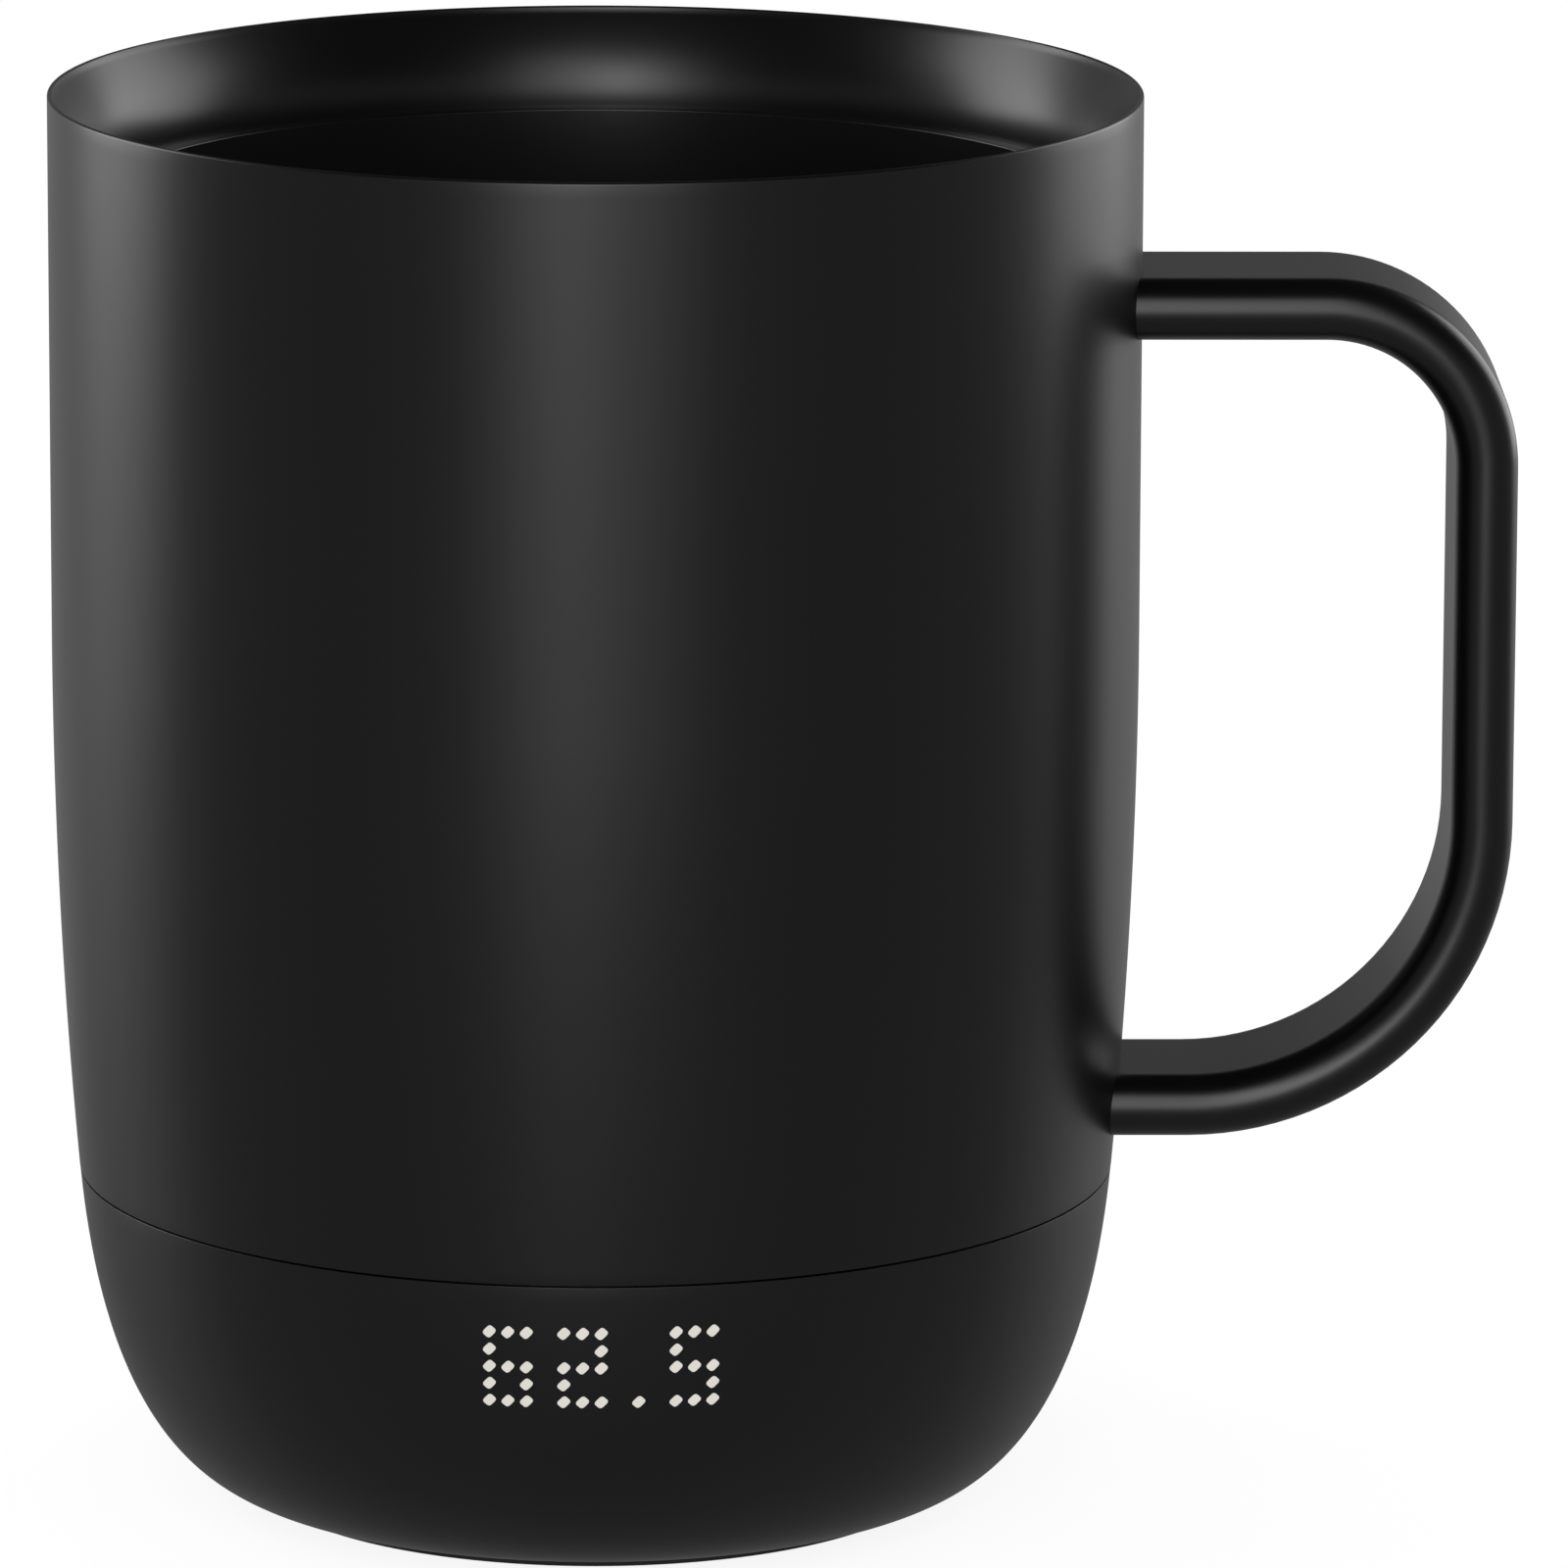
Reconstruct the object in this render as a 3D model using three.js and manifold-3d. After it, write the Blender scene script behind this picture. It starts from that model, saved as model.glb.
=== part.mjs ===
// A self heating mug: a double walled steel cup over a base that holds the heater,
// two battery cells, the electronics and a small lit number display.
// Lengths are in millimetres, Z is up, the table is at height zero and the handle points to +X.
import * as THREE from "three";
import { mergeVertices } from "three/addons/utils/BufferGeometryUtils.js";
import Module from "manifold-3d";

// Sizes of the body
const BODY_DIAMETER = 86;
const BODY_HEIGHT = 112.4;
const TAPER_HEIGHT = 69.2;
const SEAM_HEIGHT = 26.3;
const SEAM_INSET = 1.85;
const SEAM_GAP = 0.3;
const UNDERSIDE_DIAMETER = 56.8;
const FOOT_STAND = 0.8;
const SHEET = 0.4;
const BASE_WALL = 1.8;
const TAPER_TANGENT_SHARE = 0.49;
const BOWL_TANGENT_SHARE = 0.99;

// Sizes of the cup and its drinking rim
const CUP_INSET = 4.8;
const CUP_CORNER = 10;
const LIP_THICKNESS = 0.55;
const LIP_HEIGHT = 1.2;
const LEDGE_DROP = 7.8;
const COVE_HEIGHT = 6;

// Sizes of the handle, its two arms measured from the rim and from the seam
const HANDLE_PROJECTION = 29.45;
const HANDLE_WIDTH = 16.5;
const HANDLE_THICKNESS = 4.9;
const HANDLE_TOP_DROP = 16.3;
const HANDLE_FOOT_RISE = 5.65;
const HANDLE_TOP_BEND = 12.7;
const HANDLE_FOOT_BEND = 23;
const HANDLE_GAP = 0.3;

// Sizes of what the base is built round
const CELL_DIAMETER = 18.3;
const CELL_LENGTH = 35;
const CELL_SPACE = 0.3;
const SADDLE_LIP = 0.8;
const BOARD_THICKNESS = 1.2;
const BOARD_RISE = 4;
const DISPLAY_ROWS = 5;
const DISPLAY_COLUMNS = 13;
const DISPLAY_PITCH = 1.45;
const DISPLAY_DROP = 6.8;
const DISPLAY_OFFSET = 0.5;
const BUTTON_DIAMETER = 10;
const BUTTON_TRAVEL = 0.5;

// Clearances: seated faces, and pieces that pass through a hole
const FIT = 0.1;
const PASS = 0.3;
const OVERRUN = 1;
const WELD = 1e-4;

// Facets of large and small rounds, and steps along the curves
const ROUND = 40;
const MEDIUM_ROUND = 28;
const SMALL_ROUND = 8;
const TAPER_STEPS = 4;
const BOWL_STEPS = 7;
const BOWL_INNER_STEPS = 4;
const CORNER_STEPS = 4;
const COVE_STEPS = 5;
const HANDLE_STEPS = 30;
const HANDLE_EDGE_STEPS = 3;
const LEAD_STEPS = 10;
const LEAD_EDGE_STEPS = 4;
const RIBBON_STEPS = 10;
const QUARTER_TURN = Math.PI / 2;

// Radii and heights that more than one piece follows
const bodyRadius = BODY_DIAMETER / 2;
const seamRadius = bodyRadius - SEAM_INSET;
const undersideRadius = UNDERSIDE_DIAMETER / 2;
const cupRadius = bodyRadius - CUP_INSET;
const cupFlatRadius = cupRadius - CUP_CORNER;
const lipUnderside = BODY_HEIGHT - LIP_HEIGHT;
const floorTop = FOOT_STAND + BASE_WALL;

// Joining and cutting of closed shapes
const wasm = await Module();
wasm.setup();

function solidOf(geometry) {
  const bare = new THREE.BufferGeometry();
  bare.setAttribute("position", geometry.getAttribute("position"));
  bare.setIndex(geometry.getIndex());
  const merged = mergeVertices(bare, WELD);
  return new wasm.Manifold(
    new wasm.Mesh({
      numProp: 3,
      vertProperties: merged.getAttribute("position").array,
      triVerts: Uint32Array.from(merged.getIndex().array),
    }),
  );
}

function geometryOf(solid) {
  const mesh = solid.getMesh();
  const geometry = new THREE.BufferGeometry();
  geometry.setAttribute("position", new THREE.BufferAttribute(mesh.vertProperties, mesh.numProp));
  geometry.setIndex(new THREE.BufferAttribute(mesh.triVerts, 1));
  geometry.computeVertexNormals();
  return geometry;
}

// A closed outline of [radius, height] points, anticlockwise, turned round the upright axis
function turned(outline, segments = ROUND) {
  const points = [...outline, outline[0]].map(([radius, height]) => new THREE.Vector2(radius, height));
  return new THREE.LatheGeometry(points, segments).rotateX(QUARTER_TURN);
}

// An upright tube or, with no inner radius, an upright cylinder
function ring(inner, outer, bottom, top, segments = ROUND) {
  return turned([[inner, bottom], [outer, bottom], [outer, top], [inner, top]], segments);
}

function rod(radius, bottom, top, segments = SMALL_ROUND) {
  return ring(0, radius, bottom, top, segments);
}

// A block with its bottom face at the given height
function block(width, depth, height, bottom = 0) {
  return new THREE.BoxGeometry(width, depth, height).translate(0, 0, bottom + height / 2);
}

// Points of a curve moved to its left by a wall thickness
function inset(curve, steps, distance) {
  const points = [];
  for (let i = 0; i <= steps; i++) {
    const point = curve.getPoint(i / steps);
    const along = curve.getTangent(i / steps);
    points.push([point.x - along.y * distance, point.y + along.x * distance]);
  }
  return points;
}

// Places on a circle, the first one at the given angle
function placesRound(radius, count, firstAngle) {
  return Array.from({ length: count }, (_, i) => {
    const angle = firstAngle + (i * 2 * Math.PI) / count;
    return [radius * Math.cos(angle), radius * Math.sin(angle)];
  });
}

// One solid with a copy of a shape joined or cut at each place
function joinAt(solid, geometry, places) {
  const copyAt = ([x, y]) => solidOf(geometry.clone().translate(x, y, 0));
  return places.reduce((sum, place) => sum.add(copyAt(place)), solid);
}

function cutAt(solid, geometry, places) {
  const copyAt = ([x, y]) => solidOf(geometry.clone().translate(x, y, 0));
  return places.reduce((rest, place) => rest.subtract(copyAt(place)), solid);
}

// Named pieces, each with its own finish
const mug = new THREE.Group();

function finish(color, roughness, metalness) {
  return new THREE.MeshStandardMaterial({ color, roughness, metalness });
}

const blackPaint = () => finish(0x1e1e1f, 0.42, 0.1);
const blackPlastic = () => finish(0x1b1b1c, 0.5, 0);
const greyPlastic = () => finish(0x3a3b3d, 0.6, 0);
const steel = () => finish(0xb4b6b8, 0.3, 1);
const brass = () => finish(0xc9a45c, 0.3, 1);
const chipBlack = () => finish(0x141416, 0.45, 0);

function piece(name, geometry, material, parent = mug, x = 0, y = 0, z = 0) {
  const mesh = new THREE.Mesh(geometry, material);
  mesh.name = name;
  mesh.position.set(x, y, z);
  parent.add(mesh);
  return mesh;
}

// Outline of the body: a tapered lower wall over a round bowl, with one tangent at the seam
const taperTangent = SEAM_HEIGHT + (TAPER_HEIGHT - SEAM_HEIGHT) * TAPER_TANGENT_SHARE;
const seamSlope = (bodyRadius - seamRadius) / (taperTangent - SEAM_HEIGHT);
const taperCurve = new THREE.QuadraticBezierCurve(
  new THREE.Vector2(seamRadius, SEAM_HEIGHT),
  new THREE.Vector2(bodyRadius, taperTangent),
  new THREE.Vector2(bodyRadius, TAPER_HEIGHT),
);
const bowlTop = SEAM_HEIGHT - SEAM_GAP;
const bowlTopRadius = seamRadius - seamSlope * SEAM_GAP;
const bowlReach = (SEAM_HEIGHT - FOOT_STAND) * BOWL_TANGENT_SHARE;
const bowlCurve = new THREE.CubicBezierCurve(
  new THREE.Vector2(undersideRadius, FOOT_STAND),
  new THREE.Vector2(undersideRadius, FOOT_STAND),
  new THREE.Vector2(seamRadius - seamSlope * bowlReach, SEAM_HEIGHT - bowlReach),
  new THREE.Vector2(bowlTopRadius, bowlTop),
);
const bodyOutline = [
  ...inset(bowlCurve, BOWL_STEPS, 0),
  ...inset(taperCurve, TAPER_STEPS, 0),
  [bodyRadius, BODY_HEIGHT],
];

function wallRadius(height) {
  const upper = bodyOutline.findIndex((point) => point[1] >= height);
  const [lowRadius, low] = bodyOutline[upper - 1];
  const [highRadius, high] = bodyOutline[upper];
  return lowRadius + ((highRadius - lowRadius) * (height - low)) / (high - low);
}

// Outer shell: drawn steel sheet, painted, open at both ends
piece(
  "outer_shell",
  turned([
    ...inset(taperCurve, TAPER_STEPS, 0),
    [bodyRadius, lipUnderside - FIT],
    [bodyRadius - SHEET, lipUnderside - FIT],
    ...inset(taperCurve, TAPER_STEPS, SHEET).reverse(),
  ]),
  blackPaint(),
);

// Stack of the base, from the floor up to the cup: board, cradle, cells, frame, pad and heater
const CRADLE_RISE = 0.6;
const CRADLE_FLOOR = 0.8;
const FRAME_WALL = 1.2;
const PAD_THICKNESS = 1.5;
const FILM_THICKNESS = 0.3;
const SPREADER_THICKNESS = 0.8;

const boardBottom = floorTop + BOARD_RISE;
const boardTop = boardBottom + BOARD_THICKNESS;
const cradleBottom = boardTop + CRADLE_RISE;
const cradleTop = cradleBottom + CRADLE_FLOOR;
const cellRadius = CELL_DIAMETER / 2;
const cellHeight = cradleTop + FIT + cellRadius;
const frameBottom = cellHeight + cellRadius + FIT;
const frameTop = frameBottom + FRAME_WALL;
const padBottom = frameTop + FIT;
const filmBottom = padBottom + PAD_THICKNESS + FIT;
const spreaderBottom = filmBottom + FILM_THICKNESS + FIT;
const cupUnderside = spreaderBottom + SPREADER_THICKNESS + FIT;
const cupFloor = cupUnderside + SHEET;

// Inner cup: drawn steel with a flat floor, a sharp ledge, a cove above it and a rolled lip
// that covers the top edge of the outer shell
const lipRound = LIP_THICKNESS / 2;
const ledgeHeight = BODY_HEIGHT - LEDGE_DROP;
const coveTop = ledgeHeight + COVE_HEIGHT;
const neckOuterRadius = bodyRadius - SHEET - FIT;
const coveRadius = neckOuterRadius - SHEET;
const coveMiddle = (cupRadius + coveRadius) / 2;

function cupSide(thickness) {
  const corner = new THREE.EllipseCurve(
    cupFlatRadius, cupFloor + CUP_CORNER,
    CUP_CORNER + thickness, CUP_CORNER + thickness,
    -QUARTER_TURN, 0,
  );
  const cove = new THREE.CubicBezierCurve(
    new THREE.Vector2(cupRadius, ledgeHeight),
    new THREE.Vector2(coveMiddle, ledgeHeight),
    new THREE.Vector2(coveRadius, ledgeHeight),
    new THREE.Vector2(coveRadius, coveTop),
  );
  const covePoints = inset(cove, COVE_STEPS, -thickness);
  if (thickness > 0) covePoints[0] = [cupRadius + thickness, ledgeHeight - thickness];
  return [[0, cupFloor - thickness], ...inset(corner, CORNER_STEPS, 0), ...covePoints];
}

piece(
  "inner_cup",
  turned([
    ...cupSide(SHEET),
    [neckOuterRadius, lipUnderside],
    [bodyRadius, lipUnderside],
    [bodyRadius, BODY_HEIGHT - lipRound],
    [bodyRadius - lipRound, BODY_HEIGHT],
    [bodyRadius - LIP_THICKNESS, BODY_HEIGHT - lipRound],
    [coveRadius, BODY_HEIGHT - LIP_THICKNESS],
    ...cupSide(0).reverse(),
  ]),
  blackPaint(),
);

// Handle: a flat bar with round edges, bent twice, its ends fitted to the shell
const handleBar = bodyRadius + HANDLE_PROJECTION - HANDLE_THICKNESS / 2;
const handleTop = BODY_HEIGHT - HANDLE_TOP_DROP;
const handleFoot = SEAM_HEIGHT + HANDLE_FOOT_RISE;
const handleStart = cupRadius;

// A path drawn in X and Z, followed as a curve in space
class UprightPath extends THREE.Curve {
  constructor(path) {
    super();
    this.path = path;
  }

  getPoint(t, target = new THREE.Vector3()) {
    const { x, y } = this.path.getPoint(t);
    return target.set(x, 0, y);
  }
}

function handlePath() {
  const path = new THREE.Path();
  path.moveTo(handleStart, handleTop);
  path.lineTo(handleBar - HANDLE_TOP_BEND, handleTop);
  path.absarc(
    handleBar - HANDLE_TOP_BEND, handleTop - HANDLE_TOP_BEND,
    HANDLE_TOP_BEND, QUARTER_TURN, 0, true,
  );
  path.lineTo(handleBar, handleFoot + HANDLE_FOOT_BEND);
  path.absarc(
    handleBar - HANDLE_FOOT_BEND, handleFoot + HANDLE_FOOT_BEND,
    HANDLE_FOOT_BEND, 0, -QUARTER_TURN, true,
  );
  path.lineTo(handleStart, handleFoot);
  return new UprightPath(path);
}

function handleSection() {
  const round = HANDLE_THICKNESS / 2;
  const flat = (HANDLE_WIDTH - HANDLE_THICKNESS) / 2;
  const section = new THREE.Shape();
  section.absarc(0, flat, round, 0, Math.PI);
  section.absarc(0, -flat, round, Math.PI, 2 * Math.PI);
  return section;
}

const handleBlank = new THREE.ExtrudeGeometry(handleSection(), {
  extrudePath: handlePath(),
  steps: HANDLE_STEPS,
  curveSegments: HANDLE_EDGE_STEPS,
});
const bodyClearance = turned([
  [0, FOOT_STAND],
  ...bodyOutline.map(([radius, height]) => [radius + HANDLE_GAP, height]),
  [0, BODY_HEIGHT],
]);
piece("handle", geometryOf(solidOf(handleBlank).subtract(solidOf(bodyClearance))), blackPaint());

// Frame inside the shell: a disc over the cells, a collar glued into the shell above the base,
// and long bosses beside the cells that take the cradle screws
const SPIGOT_RISE = 3.6;
const SPIGOT_WALL = 1.5;
const SEAL_THICKNESS = 0.8;
const COLLAR_HEIGHT = 3.8;
const COLLAR_WALL = 1.2;
const GLUE_LINE = 0.25;
const BOSS_RADIUS = 2.2;
const BOSS_COUNT = 3;
const BASE_POST_RISE = 2.4;
const BASE_BOSS_ANGLE = Math.PI;
const SCREW_RADIUS = 0.9;
const SCREW_HEAD_RADIUS = 1.8;
const SCREW_HEAD_HEIGHT = 1;
const CRADLE_SCREW_LENGTH = 8;
const BASE_SCREW_LENGTH = 5.5;
const SCREW_CLEARANCE = 0.15;
const LEAD_RADIUS = 0.7;
const LEAD_CLEARANCE = 2;
const LEAD_SPACING = 7;

const screwBoreRadius = SCREW_RADIUS + SCREW_CLEARANCE;
const spigotRadius = seamRadius - SHEET - PASS;
const spigotInnerRadius = spigotRadius - SPIGOT_WALL;
const spigotTop = SEAM_HEIGHT + SPIGOT_RISE;
const riserRadius = spigotInnerRadius - PASS;
const sealBottom = spigotTop + FIT;
const collarBottom = sealBottom + SEAL_THICKNESS + FIT;
const collarTop = collarBottom + COLLAR_HEIGHT;
const collarRadius = wallRadius(collarBottom) - SHEET - GLUE_LINE;

// The foot ring sits near the edge of the underside and hides the base screws
const FOOT_EDGE = 1.1;
const FOOT_WIDTH = 4.2;
const FOOT_GROOVE = 1;
const footOuterRadius = undersideRadius - FOOT_EDGE;
const footInnerRadius = footOuterRadius - FOOT_WIDTH;
const baseCircle = footOuterRadius - FOOT_WIDTH / 2;
const baseBosses = placesRound(baseCircle, BOSS_COUNT, BASE_BOSS_ANGLE);
const saddleReach = CELL_DIAMETER + CELL_SPACE / 2 + SADDLE_LIP;
const frameCircle = (saddleReach + PASS + BOSS_RADIUS) / Math.sin((2 * Math.PI) / BOSS_COUNT);
const frameBosses = placesRound(frameCircle, BOSS_COUNT, 0);
const leadPlace = CELL_LENGTH / 2 + LEAD_CLEARANCE;
const leads = [LEAD_SPACING / 2, -LEAD_SPACING / 2].map((y) => [leadPlace, y]);

const postTop = floorTop + BASE_POST_RISE;
const baseBossBottom = postTop + FIT;
const frameBossBottom = cradleTop + FIT;
const leadHole = LEAD_RADIUS + PASS;
const grooveTop = FOOT_STAND + FOOT_GROOVE;
const baseHeadBottom = grooveTop + FIT;
const cradleHeadBottom = cradleBottom - FIT - SCREW_HEAD_HEIGHT;

function frameSolid() {
  const riserBottom = Math.min(frameBottom, collarBottom);
  const riserTop = Math.max(frameTop, collarBottom + COLLAR_WALL);
  const riserInnerRadius = riserRadius - COLLAR_WALL;
  let frame = solidOf(rod(riserRadius, frameBottom, frameTop, MEDIUM_ROUND));
  frame = frame.add(solidOf(ring(riserInnerRadius, riserRadius, riserBottom, riserTop, MEDIUM_ROUND)));
  const collar = turned([
    [riserInnerRadius, collarBottom],
    [collarRadius, collarBottom],
    [collarRadius, collarTop],
    [collarRadius - COLLAR_WALL, collarTop],
    [collarRadius - COLLAR_WALL, collarBottom + COLLAR_WALL],
    [riserInnerRadius, collarBottom + COLLAR_WALL],
  ], MEDIUM_ROUND);
  frame = frame.add(solidOf(collar));
  frame = joinAt(frame, rod(BOSS_RADIUS, frameBossBottom, frameTop - FRAME_WALL / 2), frameBosses);
  const bore = cradleHeadBottom + SCREW_HEAD_HEIGHT + CRADLE_SCREW_LENGTH + OVERRUN;
  frame = cutAt(frame, rod(screwBoreRadius, frameBossBottom - OVERRUN, bore), frameBosses);
  return cutAt(frame, rod(leadHole, frameBottom - OVERRUN, frameTop + OVERRUN), leads);
}

piece("support_frame", geometryOf(frameSolid()), greyPlastic());

// Heater under the cup: a foam pad, an etched film and an aluminium disc, with a sensor and a fuse
const SPREADER_EDGE = 0.6;
const SENSOR_RADIUS = 1.5;
const FUSE_LENGTH = 7;
const FUSE_WIDTH = 3;
const FUSE_PLACE = 9;
const heating = new THREE.Group();
mug.add(heating);
const spreaderRadius = cupFlatRadius - FIT;
const filmRadius = spreaderRadius - SPREADER_EDGE;
const sensorHole = SENSOR_RADIUS + PASS;

piece(
  "heat_spreader",
  rod(spreaderRadius, spreaderBottom, spreaderBottom + SPREADER_THICKNESS, MEDIUM_ROUND),
  finish(0xc4c6c8, 0.35, 1),
  heating,
);
piece(
  "heater_film",
  ring(sensorHole, filmRadius, filmBottom, filmBottom + FILM_THICKNESS, MEDIUM_ROUND),
  finish(0xb5651d, 0.4, 0),
  heating,
);

function padSolid() {
  const padTop = padBottom + PAD_THICKNESS;
  let pad = solidOf(ring(sensorHole, spreaderRadius, padBottom, padTop, MEDIUM_ROUND));
  const slotHeight = PAD_THICKNESS + 2 * OVERRUN;
  const slot = block(FUSE_LENGTH + PASS, FUSE_WIDTH + PASS, slotHeight, padBottom - OVERRUN);
  pad = cutAt(pad, slot, [[0, FUSE_PLACE]]);
  return cutAt(pad, rod(leadHole, padBottom - OVERRUN, padTop + OVERRUN), leads);
}

piece("insulation_pad", geometryOf(padSolid()), finish(0xd8d4c8, 0.9, 0), heating);
piece(
  "temperature_sensor",
  rod(SENSOR_RADIUS, 0, spreaderBottom - FIT - padBottom),
  finish(0x202020, 0.5, 0),
  heating, 0, 0, padBottom,
);
piece(
  "thermal_fuse",
  block(FUSE_LENGTH, FUSE_WIDTH, PAD_THICKNESS),
  finish(0xe6e2d6, 0.6, 0),
  heating, 0, FUSE_PLACE, padBottom,
);

// Heater leads: two insulated wires from the film down to the board, a little slack between
const LEAD_SLACK = 1;
const leadTop = filmBottom - FIT;
const leadBottom = boardTop + FIT;

function leadGeometry() {
  const length = leadTop - leadBottom;
  const route = new THREE.CubicBezierCurve3(
    new THREE.Vector3(0, 0, 0),
    new THREE.Vector3(0, 0, length / 2),
    new THREE.Vector3(LEAD_SLACK, 0, length / 2),
    new THREE.Vector3(0, 0, length),
  );
  const section = new THREE.Shape().absarc(0, 0, LEAD_RADIUS, 0, 2 * Math.PI);
  return new THREE.ExtrudeGeometry(section, {
    extrudePath: route,
    steps: LEAD_STEPS,
    curveSegments: LEAD_EDGE_STEPS,
  });
}

leads.forEach(([x, y], i) => {
  piece("heater_lead_" + (i + 1), leadGeometry(), finish(0xa02020, 0.5, 0), heating, x, y, leadBottom);
});

// Battery: two cells side by side in a cradle, joined by a strip at one end
const STRIP_THICKNESS = 0.2;
const STRIP_WIDTH = 5;
const STRIP_OVERLAP = 2;
const NIPPLE_RADIUS = 2.6;
const NIPPLE_HEIGHT = 0.8;
const battery = new THREE.Group();
mug.add(battery);
const cellPlaces = [1, -1].map((side) => (side * (CELL_DIAMETER + CELL_SPACE)) / 2);
const stripPlace = CELL_LENGTH / 2 + FIT + STRIP_THICKNESS / 2;

function cellGeometry() {
  return turned([
    [0, -CELL_LENGTH / 2],
    [cellRadius, -CELL_LENGTH / 2],
    [cellRadius, CELL_LENGTH / 2 - NIPPLE_HEIGHT],
    [NIPPLE_RADIUS, CELL_LENGTH / 2 - NIPPLE_HEIGHT],
    [NIPPLE_RADIUS, CELL_LENGTH / 2],
    [0, CELL_LENGTH / 2],
  ], MEDIUM_ROUND);
}

cellPlaces.forEach((y, i) => {
  const cell = piece(
    "battery_cell_" + (i + 1), cellGeometry(), finish(0x2f6f9f, 0.4, 0), battery, 0, y, cellHeight,
  );
  cell.rotation.y = i === 0 ? QUARTER_TURN : -QUARTER_TURN;
});

const nickel = () => finish(0xc8c4bc, 0.35, 1);
piece(
  "cell_link",
  block(STRIP_THICKNESS, CELL_DIAMETER + STRIP_WIDTH, STRIP_WIDTH),
  nickel(), battery, stripPlace, 0, cellHeight - STRIP_WIDTH / 2,
);
cellPlaces.forEach((y, i) => {
  const tabBottom = boardTop + FIT;
  piece(
    "cell_tab_" + (i + 1),
    block(STRIP_THICKNESS, STRIP_WIDTH, cellHeight + STRIP_OVERLAP - tabBottom),
    nickel(), battery, -stripPlace, y, tabBottom,
  );
});

// Cradle: a disc with two saddles under the cells, two short posts for the board below it and
// three bosses that reach down through the board for the base screws
const CRADLE_EDGE = 1;
const BOARD_EDGE = 0.3;
const SADDLE_SPACING = 22;
const SADDLE_LENGTH = 5;
const BOARD_SCREW_LENGTH = 4.5;
const CONNECTOR_EDGE = 4;
const CONNECTOR_DEPTH = 3;
const RIBBON_WIDTH = 8;
const boardRadius = Math.max(baseCircle, frameCircle) + BOSS_RADIUS + PASS + BOARD_EDGE;
const cradleRadius = boardRadius + CRADLE_EDGE;
const saddles = [SADDLE_SPACING / 2, -SADDLE_SPACING / 2].map((x) => [x, 0]);
const boardHeadBottom = boardBottom - FIT - SCREW_HEAD_HEIGHT;

// The display ribbon passes the cradle and the board in a notch at the front
const connectorPlace = boardRadius - CONNECTOR_EDGE;
const ribbonEnd = connectorPlace + CONNECTOR_DEPTH / 2 + FIT;
const notchPlace = [[DISPLAY_OFFSET, -ribbonEnd - CONNECTOR_EDGE]];

function ribbonNotch(bottom, thickness) {
  const height = thickness + 2 * OVERRUN;
  return block(RIBBON_WIDTH + 2 * PASS, 2 * CONNECTOR_EDGE, height, bottom - OVERRUN);
}

function cradleSolid() {
  let cradle = solidOf(rod(cradleRadius, cradleBottom, cradleTop, MEDIUM_ROUND));
  const saddle = block(SADDLE_LENGTH, 2 * saddleReach, cellHeight - cradleBottom, cradleBottom);
  cradle = joinAt(cradle, saddle, saddles);
  const channel = new THREE.CylinderGeometry(
    cellRadius + FIT, cellRadius + FIT, CELL_LENGTH + 2 * OVERRUN, MEDIUM_ROUND,
  ).rotateZ(QUARTER_TURN).translate(0, 0, cellHeight);
  cradle = cutAt(cradle, channel, cellPlaces.map((y) => [0, y]));
  cradle = joinAt(cradle, rod(BOSS_RADIUS, boardTop + FIT, cradleTop), saddles);
  const boardBore = boardHeadBottom + SCREW_HEAD_HEIGHT + BOARD_SCREW_LENGTH + PASS;
  cradle = cutAt(cradle, rod(screwBoreRadius, boardTop, boardBore), saddles);
  cradle = joinAt(cradle, rod(BOSS_RADIUS, baseBossBottom, cradleTop), baseBosses);
  const baseBore = baseHeadBottom + SCREW_HEAD_HEIGHT + BASE_SCREW_LENGTH + PASS;
  cradle = cutAt(cradle, rod(screwBoreRadius, baseBossBottom - OVERRUN, baseBore), baseBosses);
  const through = (radius) => rod(radius, cradleBottom - OVERRUN, cradleTop + OVERRUN);
  cradle = cutAt(cradle, through(screwBoreRadius), frameBosses);
  cradle = cutAt(cradle, through(leadHole), leads);
  cradle = cutAt(cradle, ribbonNotch(cradleBottom, CRADLE_FLOOR), notchPlace);
  const slotHeight = CRADLE_FLOOR + 2 * OVERRUN;
  const tabSlot = block(STRIP_THICKNESS + 2 * PASS, STRIP_WIDTH + PASS, slotHeight, cradleBottom - OVERRUN);
  return cutAt(cradle, tabSlot, cellPlaces.map((y) => [-stripPlace, y]));
}

piece("battery_cradle", geometryOf(cradleSolid()), greyPlastic(), battery);

// Screws: a round head under a plain shank, all of one pattern
function screwGeometry(length) {
  return turned([
    [0, 0],
    [SCREW_HEAD_RADIUS, 0],
    [SCREW_HEAD_RADIUS, SCREW_HEAD_HEIGHT],
    [SCREW_RADIUS, SCREW_HEAD_HEIGHT],
    [SCREW_RADIUS, SCREW_HEAD_HEIGHT + length],
    [0, SCREW_HEAD_HEIGHT + length],
  ], SMALL_ROUND);
}

function screws(name, places, bottom, length) {
  places.forEach(([x, y], i) => {
    piece(name + "_" + (i + 1), screwGeometry(length), steel(), mug, x, y, bottom);
  });
}

screws("base_screw", baseBosses, baseHeadBottom, BASE_SCREW_LENGTH);
screws("cradle_screw", frameBosses, cradleHeadBottom, CRADLE_SCREW_LENGTH);
screws("board_screw", saddles, boardHeadBottom, BOARD_SCREW_LENGTH);

// Main board and the parts under it
const boardParts = new THREE.Group();
mug.add(boardParts);

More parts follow.
